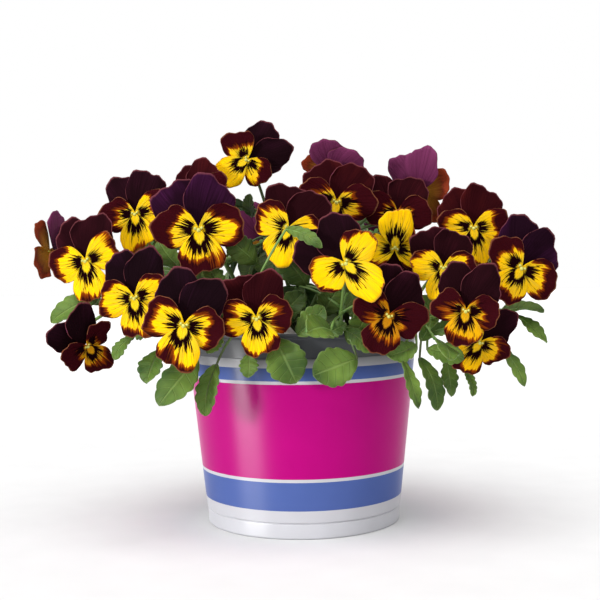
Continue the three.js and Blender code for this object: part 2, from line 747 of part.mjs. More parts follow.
// Lays out stalks and leaves, each clear of what was there before
function layOut() {
  const laid = { stalks: [], leaves: [], missed: [] };
  shoots.forEach(({ plant, ends }) => claim(alongCurve(ends, 12), plant));
  BLOOMS.forEach((bloom, i) => claimBloom(bloom, i + 11));
  for (const bloom of BLOOMS) {
    const stalk = stalkFor(bloom);
    if (!stalk) {
      laid.missed.push("stalk " + bloom[0]);
      continue;
    }
    claim(stalk.path, stalk.plant);
    laid.stalks.push({ bloom, ...stalk });
  }
  const lay = (leaf, plant, room, filler) => {
    const samples = leafSamples(leaf);
    if (samples.some(meetsPot)) return false;
    const petiole = petioleFor(leaf, plant, room * PETIOLE_ROOM);
    if (!petiole) return false;
    const blades = bladesOf(petiole.plant);
    if (!isClear(samples, [petiole.plant, blades], room)) return false;
    if (!isClearOf(leafSamples(leaf, 0.3), blades, OWN_ROOM)) return false;
    claim(samples, blades);
    claim(petiole.path, petiole.plant);
    petiole.joint.used++;
    laid.leaves.push({ leaf, filler, ...petiole });
    return true;
  };
  LEAVES.forEach(([foot, tip, width], i) => {
    const leaf = leafFrame(foot, tip, width, FRONT_FACING);
    if (!lay(leaf, null, ROOM * TIGHT_ROOM, false)) laid.missed.push("leaf " + i);
  });
  const draw = draws(77);
  RINGS.forEach(({ count, near, footHeight, far, tipHeight, width }, ring) => {
    for (let i = 0; i < count; i++) {
      const start = (2 * Math.PI * (i + ring / 2 + 0.5 * draw())) / count;
      RING_SHIFTS.some(([turn, shift]) => {
        const at = (a, r, z) => [r * Math.cos(a), r * Math.sin(a), z];
        const foot = at(start + turn, near + shift, footHeight);
        const tip = at(start + turn + RING_TWIST * (i % 2 ? 1 : -1), far + shift, tipHeight);
        return lay(leafFrame(foot, tip, width), null, ROOM * TIGHT_ROOM, true);
      });
    }
  });
  for (const { plant, ends } of shoots) {
    for (const [i, share] of FILLER_STEPS[plant].entries()) {
      const from = curveAt(ends, share);
      const outward = Math.atan2(from[1], from[0]);
      const length = FILLER_LENGTH[0] + (FILLER_LENGTH[1] - FILLER_LENGTH[0]) * draw();
      const lean = (i % 2 ? 34 : -34) + 20 * (draw() - 0.5);
      search: for (const rise of FILLER_RISES) {
        for (const turn of FILLER_TURNS) {
          const a = outward + rad(lean + turn);
          const e = rad(rise);
          const way = [Math.cos(a) * Math.cos(e), Math.sin(a) * Math.cos(e), Math.sin(e)];
          const foot = add(from, mul(way, 11));
          const tip = add(add(foot, mul(way, length)), [0, 0, -5]);
          if (lay(leafFrame(foot, tip, length * 0.6), plant, ROOM, true)) break search;
        }
      }
    }
  }
  return laid;
}

// Assembly
const planter = new THREE.Group();
planter.add(nodeOf("pot", makePot(), COLOURS.pot, 0.3));
planter.add(nodeOf("soil", makeSoil(), COLOURS.soil, 0.95));

BLOOMS.forEach((bloom, i) => {
  const { front, back } = makeBloom(bloom, i + 11);
  planter.add(nodeOf("bloom_" + bloom[0] + "_face_petals", front, COLOURS.face, 0.7));
  planter.add(nodeOf("bloom_" + bloom[0] + "_back_petals", back, COLOURS.back, 0.75));
});

// A shoot's solid is made of straight steps, and each stem springs from the nearest point of them
const steps = shoots.flatMap(({ plant, ends }) => {
  const points = new StemCurve(ends).getSpacedPoints(SHOOT.steps);
  return points.slice(1).map((end, i) => ({ plant, line: new THREE.Line3(points[i], end) }));
});
function rootedAt(plant, point) {
  const from = new THREE.Vector3(...point);
  const roots = steps
    .filter((step) => step.plant === plant)
    .map(({ line }) => line.closestPointToPoint(from, true, new THREE.Vector3()));
  return roots.sort((a, b) => a.distanceTo(from) - b.distanceTo(from))[0].toArray();
}

const laid = layOut();
for (const [plant, [x, y]] of Object.entries(PLANTS)) {
  let body = cylinder(CROWN_RADIUS, SOIL_TOP - CROWN_DEPTH, SOIL_TOP + CROWN_RISE, x, y, CROWN_SIDES);
  shoots
    .filter((shoot) => shoot.plant === plant)
    .forEach(({ ends }) => (body = body.add(stem(ends, SHOOT))));
  laid.stalks
    .filter((stalk) => stalk.plant === plant)
    .forEach(({ ends, bloom }) => {
      const sprung = [rootedAt(plant, ends[0]), ...ends.slice(1)];
      body = body.add(stem(sprung, STALK)).add(calyxSolid(bloom));
    });
  laid.leaves
    .filter((entry) => entry.plant === plant)
    .forEach(({ leaf, ends, filler }) => {
      body = body.add(leafSolid(leaf, rootedAt(plant, ends[0]), filler ? FILLER_SHARES : LEAF_SHARES));
    });
  const largest = body
    .simplify(SMALLEST_EDGE)
    .decompose()
    .sort((a, b) => b.volume() - a.volume())[0];
  planter.add(nodeOf("plant_" + plant, largest, COLOURS.plant, 0.6));
}

export default planter;
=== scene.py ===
"""Looks of the potted pansy planter: a printed plastic pot of soil with three pansy plants in full bloom."""

import math
from collections import namedtuple
from functools import partial

import bmesh
import bpy
import numpy as np
from bpy.props import FloatProperty, FloatVectorProperty, IntProperty, PointerProperty
from mathutils import Matrix, Vector, noise


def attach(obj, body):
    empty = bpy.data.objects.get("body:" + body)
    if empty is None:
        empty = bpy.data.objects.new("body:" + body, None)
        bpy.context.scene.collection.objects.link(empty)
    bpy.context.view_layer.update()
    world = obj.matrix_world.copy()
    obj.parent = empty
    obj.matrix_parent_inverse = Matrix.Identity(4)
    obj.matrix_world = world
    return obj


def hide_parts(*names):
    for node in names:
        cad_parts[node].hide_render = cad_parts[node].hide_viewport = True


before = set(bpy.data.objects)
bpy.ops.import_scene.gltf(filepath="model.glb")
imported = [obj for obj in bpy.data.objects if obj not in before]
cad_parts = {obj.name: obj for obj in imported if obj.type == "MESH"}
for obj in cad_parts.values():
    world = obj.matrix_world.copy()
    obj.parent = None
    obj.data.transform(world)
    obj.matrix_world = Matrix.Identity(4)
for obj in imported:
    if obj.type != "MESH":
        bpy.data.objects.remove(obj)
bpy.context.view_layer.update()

bl_info = {
    "name": "Potted pansy planter",
    "version": (1, 0, 0),
    "blender": (4, 5, 0),
    "location": "View3D > Sidebar > Planter",
    "description": "Builds a printed plastic pot with three flowering pansy plants",
    "category": "Add Mesh",
}

MM = 0.001  # the layout below is in millimetres, and every mesh is in metres

# The pot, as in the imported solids
POT_HEIGHT = 141
FOOT_RADIUS = 70.45
FOOT_HEIGHT = 10.9
BAND_TOP = 123.5
WALL_SLOPE = 0.107
WALL = 1.6
COLLAR_STEP = 0.8
RIM_BEAD = 1.6
BASE_RISE = 2.4
DRAIN_HOLES = 6
DRAIN_HOLE_RADIUS = 4.5
DRAIN_CIRCLE = 40
DRAIN_CUT = 4 * WALL + 4

# The heights where the print changes colour, from the ground up
WHITE_FOOT_TOP = 19.7
LOWER_STRIPE_TOP = 39.2
LOWER_LINE_TOP = 41.5
WIDE_BAND_TOP = 106.4
UPPER_LINE_TOP = 108.8
UPPER_STRIPE_TOP = 117.7
UPPER_STRIPE_RADIUS = 82.5
BAND_TOP_RADIUS = UPPER_STRIPE_RADIUS + WALL_SLOPE * (BAND_TOP - UPPER_STRIPE_TOP)

# The soil and the crowns that stand in it
SOIL_TOP = 130
SOIL_CROWN = 1.4
SOIL_FALL = 1.9
SOIL_RINGS = 42
SOIL_SIDES = 132
GAP = 0.3
CROWN_DEPTH = 14
CROWN_RISE = 7

# A bloom of size 1 in its own plane: x right, y up, z to the viewer
LATERAL = {
    "angle": 11, "length": 25.5, "half": 13, "round": 0.45,
    "lift": 1, "lean": 0.1, "bow": -2, "ruffle": 1.3,
}
LOWER = {
    "angle": -90, "length": 28.5, "half": 12.8, "round": 0.46,
    "lift": 1.9, "lean": 0.3, "bow": -3, "ruffle": 1,
}
BACK = {
    "angle": 65, "length": 35, "half": 15.8, "round": 0.5,
    "lift": -2.8, "lean": -0.22, "bow": 1.5, "ruffle": 0.8,
}
BACK_SINK = -4.1
LOWER_NOTCH = 2
ANGLE_SPREAD = 6
SIZE_SPREAD = 0.06
LEAN_SPREAD = 0.1
FIRST_SEED = 11  # of the draws that make each bloom's petals differ
CALYX = {"wide": -10.8, "rear": -14}

# What the fine petals add: how far the rim ripples, the blade cups and its sides curl, in millimetres,
# how much the dark margin's start differs between a bloom's petals, and how deep the fine streaks stand
RIPPLE = 1.3
CUP = 1.1
CURL = 2.6
MARGIN_SPREAD = 0.09
PETAL_RELIEF = 0.6

# The throat's stigma and the tufts beside it, as places in the bloom's plane and radii
THROAT_BALLS = [(0, -0.2, 2.0, 1.35), (-1.9, 1.0, 1.9, 0.9), (1.9, 1.0, 1.9, 0.9)]

# What the fine leaves add: how deep the notches between the teeth are, as a share of the half width, on a
# narrow and a wide leaf, how far the blade quilts and waves, in millimetres, how far its midrib sways,
# as a share of its length, and how deep its veins stand
LEAF_HALVES = (5, 12)
LEAF_NOTCHES = (0.3, 0.13)
QUILT = 0.35
LEAF_WAVE = 1.1
LEAF_SWAY = 0.05
VEIN_RELIEF = 0.5

# The room in millimetres that leaves and stems keep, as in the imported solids, and as shares of it the tight
# room of the leaves in view and the room of a petiole
ROOM = 5.2
TIGHT_ROOM = 0.7
PETIOLE_ROOM = 0.6
OWN_ROOM = 3.6
STALK_ROOM = 3
RIM_ROOM = 3
WALL_ROOM = 6
POT_ROOM = 4

# Where stems leave a shoot, as shares of it, how far apart they leave it, and how a petiole is tried
JOINT_SHARES = [0.3, 0.45, 0.6, 0.75, 0.9]
JOINT_SPACING = 2.8
LAST_SHARE = 0.98
PETIOLE_TRIES = 5
PETIOLE_LIFTS = [6, 14, -4, 24]

# How far behind its calyx a stalk hooks over, how many joints it tries, in how many steps it is looked at,
# how many of them keep the wider room, and how it is bent clear of others
STALK_HOOK = 13
STALK_TRIES = 8
STALK_STEPS = 14
STALK_FREE = 12
STALK_BENDS = [
    (0, 0), (0, -10), (10, 0), (-10, 0), (14, -12), (-14, -12),
    (22, 0), (-22, 0), (0, -24), (26, -20), (-26, -20),
]

PLANTS = {"left": (-34, -14), "right": (34, -14), "back": (0, 38)}

# Main shoots: plant, point that the shoot bends towards, and tip
SHOOTS = [
    ("left", (-80, -28, 186), (-128, -44, 160)),
    ("left", (-58, -58, 180), (-84, -88, 142)),
    ("left", (-38, -58, 176), (-42, -92, 142)),
    ("left", (-44, -24, 180), (-62, -34, 200)),
    ("left", (-64, 0, 190), (-120, -2, 186)),
    ("right", (82, -28, 182), (128, -46, 150)),
    ("right", (58, -58, 176), (84, -88, 140)),
    ("right", (30, -58, 178), (24, -92, 142)),
    ("right", (44, -30, 180), (62, -40, 196)),
    ("right", (70, 0, 190), (118, 4, 190)),
    ("back", (-50, 60, 186), (-86, 70, 176)),
    ("back", (0, 74, 190), (0, 96, 178)),
    ("back", (54, 60, 186), (90, 66, 176)),
    ("back", (-14, 30, 190), (-24, 14, 226)),
    ("back", (22, 30, 190), (44, 12, 216)),
    ("back", (-40, 44, 196), (-58, 40, 214)),
    ("back", (40, 52, 196), (56, 56, 212)),
    ("back", (4, 56, 200), (0, 66, 224)),
]

# Blooms: name, centre, turn to the right, tilt upwards, roll counter-clockwise, size,
# where the dark margin starts as a share of the petal, how amber the yellow is,
# and how wine red the upper petals are, or below 0 how violet
BLOOMS = [
    ("a", (-147, -54, 191), -14, 4, 18, 1.02, 0.72, 0, 0.4),
    ("a2", (-182, -8, 200), -100, -10, 52, 0.9, 0.5, 0.3, 0.6),
    ("b", (-117, -24, 224), -12, 6, 8, 0.97, 0.66, 0, 0.15),
    ("c", (-69, -62, 211), 6, 4, 5, 1.18, 0.5, 0, -0.8),
    ("c2", (-74, -8, 238), -12, 14, 14, 0.9, 0.5, 0.3, 0.8),
    ("d", (-39, 14, 265), -8, 4, -52, 0.92, 0.6, 0, 0.1),
    ("e", (-110, -82, 166), -8, 0, 10, 0.96, 0.62, 0, 0),
    ("f", (-75, -110, 149), -2, 0, -14, 1.04, 0.54, 0, 0),
    ("g", (-143, -80, 135), 46, -24, 46, 0.78, 0.3, 0.6, 0.1),
    ("h", (-8, -64, 211), -4, 6, -20, 0.96, 0.7, 0, 0.5),
    ("i", (26, -28, 230), 2, 8, -9, 1.04, 0.46, 0.2, 0.9),
    ("p", (26, 18, 257), 172, 40, 20, 0.93, 0.5, 0.2, 0.3),
    ("j", (29, -104, 187), -4, 2, 45, 1.0, 0.78, 0, 0.1),
    ("k", (64, -62, 197), 4, 4, 178, 0.92, 0.8, 0, 0.7),
    ("q", (70, -18, 222), 4, 14, -4, 0.98, 0.3, 0.5, 0.6),
    ("o", (92, 20, 241), 144, 6, -8, 0.94, 0.45, 0.4, 0.2),
    ("l", (94, -84, 183), 2, 2, -4, 0.86, 0.78, 0, 0.4),
    ("m", (121, -40, 210), 4, 8, -2, 0.98, 0.7, 0.1, 1),
    ("n", (147, -74, 182), 12, 2, -34, 1.04, 0.52, 0.12, -0.6),
    ("r", (56, -105, 153), 2, -6, -20, 0.92, 0.3, 0.75, 0.2),
    ("s", (104, -116, 156), -12, -6, -10, 0.87, 0.46, 0.45, 0.3),
    ("t", (119, -74, 133), 8, -12, -38, 0.87, 0.56, 0.2, 0.2),
    ("u", (-29, -100, 152), 0, 0, 8, 0.94, 0.56, 0, 0.8),
    ("w", (-122, 56, 206), -122, 14, 6, 1.0, 0.62, 0, 0.3),
    ("x", (-30, 116, 208), -172, 12, -6, 1.04, 0.6, 0, 0.1),
    ("y", (66, 104, 212), 160, 10, 8, 1.0, 0.7, 0, 0.5),
    ("z", (138, 36, 186), 108, 8, -6, 0.98, 0.62, 0, 0.2),
]

# Leaves that show, as the blade's foot, its tip, and its full width
LEAVES = [
    ((-17, -92, 138), (-4, -98, 110), 25),
    ((36, -95, 125), (7, -101, 115), 24),
    ((-35, -94, 129), (-35, -98, 114), 12),
    ((-140, -48, 166), (-171, -60, 150), 18),
    ((-112, -78, 141), (-124, -86, 126), 10),
    ((-96, -74, 131), (-103, -86, 110), 17),
    ((-69, -92, 126), (-92, -110, 98), 22),
    ((-56, -90, 122), (-64, -95, 89), 15),
    ((80, -64, 122), (91, -70, 87), 14),
    ((66, -82, 124), (77, -82, 90), 9),
    ((99, -54, 120), (102, -60, 95), 13),
    ((112, -60, 112), (116, -66, 96), 8),
    ((130, -56, 132), (151, -66, 102), 11),
    ((148, -50, 150), (168, -58, 131), 10),
    ((78, -92, 136), (86, -84, 152), 14),
    ((75, -93, 133), (55, -101, 127), 13),
    ((82, -92, 130), (105, -99, 124), 14),
    ((-3, -91, 141), (15, -95, 159), 17),
    ((14, -92, 140), (29, -97, 148), 10),
    ((28, -93, 144), (44, -102, 130), 12),
    ((-35, -8, 222), (-36, -14, 238), 12),
    ((-31, -50, 188), (-50, -56, 206), 18),
    ((-9, -92, 210), (14, -106, 198), 9),
    ((-84, -45, 186), (-98, -48, 205), 17),
    ((-68, -48, 171), (-80, -52, 187), 15),
    ((124, -62, 166), (134, -58, 192), 14),
    ((-62, -92, 130), (-53, -88, 142), 12),
    ((72, -90, 139), (59, -94, 150), 11),
    ((84, -92, 141), (103, -95, 147), 10),
    ((44, -80, 158), (31, -86, 134), 16),
    ((-14, -72, 148), (2, -70, 168), 16),
    ((33, -72, 168), (20, -78, 190), 18),
    ((-44, -78, 150), (-52, -82, 171), 15),
    ((4, -56, 172), (-14, -62, 194), 20),
    ((-54, -58, 170), (-65, -61, 189), 14),
    ((93, -58, 145), (81, -61, 164), 17),
    ((14, -62, 152), (25, -65, 170), 17),
]
FRONT_FACING = (0, -1, 0.4)
LEAF_ARCH = 0.42
LEAF_SEED = 77

# Leaves that fill gaps: where they leave a shoot, the ways that they try, their petiole's length,
# how far their tip droops, how they lean, and how long and how wide they are
FILLER_STEPS = {"left": [1], "right": [1], "back": [0.6, 1]}
FILLER_TURNS = [0, 28, -28, 56, -56, 84, -84]
FILLER_RISES = [10, -14, 34, -36, 58]
FILLER_STALK = 11
FILLER_DROOP = -5
FILLER_LEAN = 34
FILLER_LEAN_SPREAD = 20
FILLER_LENGTH = (27, 36)
FILLER_WIDTH = 0.6

# Rings of leaves round the shoots: how many, how far from the axis and how high they start and end, and width
RINGS = [(7, 22, 149, 58, 142, 30), (12, 58, 172, 68, 146, 26), (9, 42, 200, 52, 174, 27)]
RING_TWIST = 0.16
RING_SHIFTS = [(0, 0), (0.12, 0), (-0.12, 0), (0, -8), (0, 8), (0.2, 6), (-0.2, 6), (0.2, -8), (-0.2, -8)]

# How far a leaf's coarse outline reaches, row by row, which is what it keeps clear round itself
LEAF_ROWS = [(0, 0.1), (0.2, 0.62), (0.36, 0.66), (0.52, 1), (0.66, 0.88), (0.82, 0.8), (1, 0.16)]

Bloom = namedtuple("Bloom", "name centre turn tilt roll size margin amber wine")
Frame = namedtuple("Frame", "centre face right up size")
Petal = namedtuple("Petal", "kind side angle length half round lift lean bow ruffle phase notch")
Leaf = namedtuple("Leaf", "foot along length out side half")
Joint = namedtuple("Joint", "plant ends share point used")


# Layout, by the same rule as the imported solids


def vec(*xyz):
    return np.array(xyz, float)


def unit(v):
    return v / math.sqrt(v @ v)


def draws(seed):
    """Numbers from 0 to 1 that are the same on every run."""
    state = seed
    while True:
        state = state * 16807 % 2147483647
        yield state / 2147483647


def bloom_frame(bloom):
    a, e, r = (math.radians(x) for x in (bloom.turn, bloom.tilt, bloom.roll))
    face = vec(math.sin(a) * math.cos(e), -math.cos(a) * math.cos(e), math.sin(e))
    level = vec(math.cos(a), math.sin(a), 0)
    rise = np.cross(face, level)
    right = level * math.cos(r) + rise * math.sin(r)
    up = -level * math.sin(r) + rise * math.cos(r)
    return Frame(vec(*bloom.centre), face, right, up, bloom.size)


def place(at, x, y, z):
    """Points of a bloom's own plane, put where the bloom is."""
    parts = zip((x, y, z), (at.right, at.up, at.face))
    local = [np.multiply.outer(np.asarray(k, float), way) for k, way in parts]
    return at.centre + sum(local) * at.size


def petals_of(seed):
    """The five petals of a bloom, each with its own small differences."""
    draw = draws(seed)
    kinds = [("lateral", LATERAL, 1, 0), ("lateral", LATERAL, -1, 0), ("lower", LOWER, 1, 0)]
    kinds += [("back", BACK, 1, 0), ("back", BACK, -1, BACK_SINK)]
    petals = []
    for kind, base, side, sink in kinds:
        wander = ANGLE_SPREAD * (next(draw) - 0.5)
        angle = base["angle"] + wander if side > 0 else 180 - base["angle"] + wander
        length = base["length"] * (1 + SIZE_SPREAD * (2 * next(draw) - 1))
        half = base["half"] * (1 + SIZE_SPREAD * (2 * next(draw) - 1))
        lean = base["lean"] + (0 if kind == "back" else LEAN_SPREAD) * (next(draw) - 0.5)
        phase = 2 * math.pi * next(draw)
        notch = LOWER_NOTCH if kind == "lower" else 0
        petals.append(
            Petal(kind, side, math.radians(angle), length, half, base["round"], base["lift"] + sink,
                  lean, base["bow"], base["ruffle"], phase, notch)
        )
    return petals


def petal_point(petal, s, t):
    """A petal's surface in the bloom's own plane: s from the throat to the rim, t from side to side."""
    swing = math.pi / 2 * t
    spread = 0.08 + 0.92 * (1 - (1 - s) ** 1.8)
    along = petal.length * s * (1 - petal.round + petal.round * np.cos(swing))
    along = along - petal.notch * np.exp(-((t / 0.22) ** 2)) * s**3
    across = petal.half * spread * np.sin(swing)
    wave = petal.ruffle * s * s * np.sin(3.4 * t + petal.phase)
    z = petal.lift + petal.lean * along + petal.bow * s * s + wave
    c, n = math.cos(petal.angle), math.sin(petal.angle)
    return along * c - across * n, along * n + across * c, z


def curve_at(ends, k):
    row = list(ends)
    while len(row) > 1:
        row = [row[i] * (1 - k) + row[i + 1] * k for i in range(len(row) - 1)]
    return row[0]


def along_curve(ends, count):
    return np.array([curve_at(ends, i / count) for i in range(count + 1)])


def wall_radius(z):
    return BAND_TOP_RADIUS - WALL_SLOPE * (BAND_TOP - z)


def meets_pot(point):
    x, y, z = point
    r = math.sqrt(x * x + y * y)
    if z > POT_HEIGHT + RIM_ROOM:
        return False
    if r < wall_radius(POT_HEIGHT) - WALL_ROOM:
        return z < SOIL_TOP + POT_ROOM
    return r < wall_radius(min(z, POT_HEIGHT)) + POT_ROOM


taken = {}  # points that leaves and stems keep clear of, by the piece that they belong to


def claim(points, owner):
    points = np.array(points, float).reshape(-1, 3)
    taken[owner] = np.vstack([taken[owner], points]) if owner in taken else points


def is_clear_of(points, owner, room):
    if owner not in taken:
        return True
    apart = np.asarray(points)[:, None, :] - taken[owner][None, :, :]
    return (apart * apart).sum(2).min() > room * room


def is_clear(points, owners, room):
    return all(is_clear_of(points, name, room) for name in taken if name not in owners)


def blades_of(plant):
    return plant + " blades"


def joints_near(point, plant, count):
    near = [joint for joint in joints if plant is None or joint.plant == plant]
    return sorted(near, key=lambda joint: math.dist(joint.point, point))[:count]


def next_start(joint):
    """Where the next stem leaves a joint: each in turn a little further from it along the shoot."""
    used = len(joint.used)
    step = JOINT_SPACING * ((used + 1) // 2) * (1 if used % 2 else -1)
    reach = math.dist(joint.ends[0], joint.ends[2])
    return curve_at(joint.ends, min(joint.share + step / reach, LAST_SHARE))


def stalk_for(bloom):
    """A bloom's stalk rises behind it and hooks over into the calyx."""
    at = bloom_frame(bloom)
    calyx = place(at, 0, 0, CALYX["rear"] + 2)
    side = unit(np.cross(at.face, vec(0, 0, 1)))
    for joint in joints_near(calyx, None, STALK_TRIES):
        start, plant = next_start(joint), joint.plant
        for slide, sink in STALK_BENDS:
            hook = calyx - at.face * STALK_HOOK * at.size + side * slide + vec(0, 0, 1 + sink)
            rise = start * 0.65 + calyx * 0.35 + side * slide + vec(0, 0, 4 + sink / 2)
            ends = [start, rise, hook, calyx]
            path = along_curve(ends, STALK_STEPS)
            own = [plant, blades_of(plant), bloom.name]
            if any(meets_pot(p) for p in path):
                continue
            if is_clear(path[:STALK_FREE], own, ROOM - 1) and is_clear(path, own, STALK_ROOM):
                joint.used.append(bloom.name)
                claim(path, plant)
                return plant, bloom, ends
    raise RuntimeError("no room for the stalk of bloom " + bloom.name)


def leaf_frame(foot, tip, width, facing=(0, 0, 0.55)):
    foot, tip = vec(*foot), vec(*tip)
    length = math.dist(foot, tip)
    along = unit(tip - foot)
    look = unit(vec(foot[0] + tip[0], foot[1] + tip[1], 0)) + vec(*facing)
    out = unit(look - along * (look @ along))
    return Leaf(foot, along, length, out, np.cross(out, along), width / 2)


def leaf_point(leaf, s, across, rise=0):
    """A point of a blade: s along it, across it in millimetres, and rise above its arched middle."""
    height = LEAF_ARCH * leaf.length * s * (1 - s) + rise
    parts = zip((leaf.length * s, across, height), (leaf.along, leaf.side, leaf.out))
    return leaf.foot + sum(np.multiply.outer(np.asarray(k, float), way) for k, way in parts)


def leaf_samples(leaf, start=0):
    rows = [(s, max(share, 0.3)) for s, share in LEAF_ROWS if s >= start]
    return np.array([leaf_point(leaf, s, t * share * leaf.half) for s, share in rows for t in (-1, 0, 1)])


def petiole_for(leaf, plant, room):
    for joint in joints_near(leaf.foot, plant, PETIOLE_TRIES):
        start, owner = next_start(joint), joint.plant
        for lift in PETIOLE_LIFTS:
            ends = [start, start * 0.4 + leaf.foot * 0.6 + vec(0, 0, lift), leaf.foot]
            path = along_curve(ends, 8)
            if any(meets_pot(p) for p in path):
                continue
            if is_clear(path, [owner, blades_of(owner)], room):
                return joint, ends, path
    return None


def lay_leaf(leaf, plant, room, placed):
    """Adds a leaf to those placed, if there is room for it."""
    samples = leaf_samples(leaf)
    if any(meets_pot(p) for p in samples):
        return False
    petiole = petiole_for(leaf, plant, room * PETIOLE_ROOM)
    if not petiole:
        return False
    joint, ends, path = petiole
    owner = joint.plant
    blades = blades_of(owner)
    if not is_clear(samples, [owner, blades], room):
        return False
    if not is_clear_of(leaf_samples(leaf, 0.3), blades, OWN_ROOM):
        return False
    claim(samples, blades)
    claim(path, owner)
    joint.used.append("leaf")
    placed.append((owner, leaf, ends))
    return True


def lay_filler(plant, start, lean, length, placed):
    """Finds a way for one leaf to grow out of a shoot, clear of what is there."""
    outward = math.atan2(start[1], start[0])
    for rise in FILLER_RISES:
        for turn in FILLER_TURNS:
            a, e = outward + math.radians(lean + turn), math.radians(rise)
            way = vec(math.cos(a) * math.cos(e), math.sin(a) * math.cos(e), math.sin(e))
            foot = start + way * FILLER_STALK
            tip = foot + way * length + vec(0, 0, FILLER_DROOP)
            if lay_leaf(leaf_frame(foot, tip, length * FILLER_WIDTH), plant, ROOM, placed):
                return


def lay_out():
    """Where every shoot, stalk and leaf goes, each clear of what was there before."""
    for plant, ends in shoots:
        claim(along_curve(ends, 12), plant)
    rows, columns = (0.2, 0.4, 0.6, 0.8, 1), (-1, -0.55, 0, 0.55, 1)
    s, t = (grid.ravel() for grid in np.meshgrid(rows, columns, indexing="ij"))
    for i, bloom in enumerate(blooms):
        for petal in petals_of(i + FIRST_SEED):
            claim(place(bloom_frame(bloom), *petal_point(petal, s, t)), bloom.name)
    stalks = [stalk_for(bloom) for bloom in blooms]
    placed = []
    for foot, tip, width in LEAVES:
        lay_leaf(leaf_frame(foot, tip, width, FRONT_FACING), None, ROOM * TIGHT_ROOM, placed)
    draw = draws(LEAF_SEED)
    for ring, (count, near, foot_height, far, tip_height, width) in enumerate(RINGS):
        for i in range(count):
            start = 2 * math.pi * (i + ring / 2 + 0.5 * next(draw)) / count
            for turn, shift in RING_SHIFTS:
                a, b = start + turn, start + turn + RING_TWIST * (1 if i % 2 else -1)
                foot = ((near + shift) * math.cos(a), (near + shift) * math.sin(a), foot_height)
                tip = ((far + shift) * math.cos(b), (far + shift) * math.sin(b), tip_height)
                if lay_leaf(leaf_frame(foot, tip, width), None, ROOM * TIGHT_ROOM, placed):
                    break
    for plant, ends in shoots:
        for i, share in enumerate(FILLER_STEPS[plant]):
            short, long = FILLER_LENGTH
            length = short + (long - short) * next(draw)
            lean = (FILLER_LEAN if i % 2 else -FILLER_LEAN) + FILLER_LEAN_SPREAD * (next(draw) - 0.5)
            lay_filler(plant, curve_at(ends, share), lean, length, placed)
    return stalks, placed


blooms = [Bloom(*row) for row in BLOOMS]
shoots = [(plant, [vec(*PLANTS[plant], SOIL_TOP + 2), vec(*bend), vec(*tip)]) for plant, bend, tip in SHOOTS]
joints = [Joint(plant, ends, k, curve_at(ends, k), []) for plant, ends in shoots for k in JOINT_SHARES]


# Mesh helpers

WELD = 1e-6  # points nearer than this, in metres, are one
NO_STEM_WAY = (0.31, 0.77, -0.55)  # a direction that no stem starts in


def surface(bm, columns, rows, form, look=None, lower=0.0, turned=False):
    """A grid whose point s along (0 to 1) and t across (-1 to 1) goes where form says, in millimetres."""
    made = bmesh.ops.create_grid(bm, x_segments=columns, y_segments=rows, size=1)["verts"]
    t = np.array([-v.co.x for v in made])
    s = np.array([(v.co.y + 1) / 2 for v in made])
    points = form(s, t) * MM
    uv = bm.loops.layers.uv.verify()
    number = {}
    for k, v in enumerate(made):
        v.co = points[k]
        number[v] = k
        if look:
            v[bm.verts.layers.float_vector["look"]] = look
            v[bm.verts.layers.float["lower"]] = lower
    for face in {face for v in made for face in v.link_faces}:
        for loop in face.loops:
            k = number[loop.vert]
            share = (1 + t[k]) / 2
            loop[uv].uv = (1 - share if turned else share, s[k])
    return made


def tube(bm, points, radii, sides):
    """A round stem through points, with its own radius at each, closed at both ends."""
    points = np.array([points[0], *points, points[-1]], float)
    radii = np.array([0, *radii, 0], float)
    ways = np.gradient(points[1:-1], axis=0)
    ways = np.vstack([ways[:1], ways, ways[-1:]])
    ways /= np.linalg.norm(ways, axis=1)[:, None]
    across = [unit(np.cross(ways[0], vec(*NO_STEM_WAY)))]
    for way in ways[1:]:
        across.append(unit(across[-1] - way * (across[-1] @ way)))
    across = np.array(across)
    third = np.cross(ways, across)
    last = len(points) - 1

    def form(s, t):
        k = np.rint(s * last).astype(int)
        angle = -math.pi * t
        ring = np.cos(angle)[:, None] * across[k] + np.sin(angle)[:, None] * third[k]
        return points[k] + radii[k][:, None] * ring

    made = surface(bm, sides, last, form)
    bmesh.ops.remove_doubles(bm, verts=made, dist=WELD)


def rounded(profile, radius, steps=3):
    """The profile with each of its inner corners turned into a short curve."""
    made = [profile[0]]
    for before, corner, after in zip(profile, profile[1:], profile[2:]):
        before, corner, after = (np.array(p, float) for p in (before, corner, after))
        cuts = []
        for other in (before, after):
            reach = math.dist(other, corner)
            cuts.append(corner + (other - corner) * min(radius / reach, 0.45))
        for i in range(steps + 1):
            made.append(tuple(curve_at([cuts[0], corner, cuts[1]], i / steps)))
    return [*made, profile[-1]]


def spun(bm, profile, steps):
    """A closed solid of revolution round the Z axis from a profile that starts and ends on it."""
    made = [bm.verts.new((r * MM, 0, z * MM)) for r, z in profile]
    edges = [bm.edges.new(pair) for pair in zip(made, made[1:])]
    bmesh.ops.spin(
        bm, geom=made + edges, cent=(0, 0, 0), axis=(0, 0, 1), angle=2 * math.pi, steps=steps, use_merge=True
    )
    bmesh.ops.remove_doubles(bm, verts=bm.verts, dist=WELD)
    bmesh.ops.recalc_face_normals(bm, faces=bm.faces)


def mesh_object(name, bm, materials=()):
    """Turns a bmesh into an object of the scene."""
    mesh = bpy.data.meshes.new(name)
    bm.to_mesh(mesh)
    bm.free()
    for material in materials:
        mesh.materials.append(material)
    made = bpy.data.objects.new(name, mesh)
    bpy.context.scene.collection.objects.link(made)
    return made


def new_piece(name, bm, materials, slot, *nodes):
    """Makes a smooth piece of the object that rides on its one body and stands for the CAD nodes."""
    for face in bm.faces:
        face.smooth = True
    piece = mesh_object(name, bm, materials)
    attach(piece, "root")
    if nodes:
        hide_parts(*nodes)
    return piece


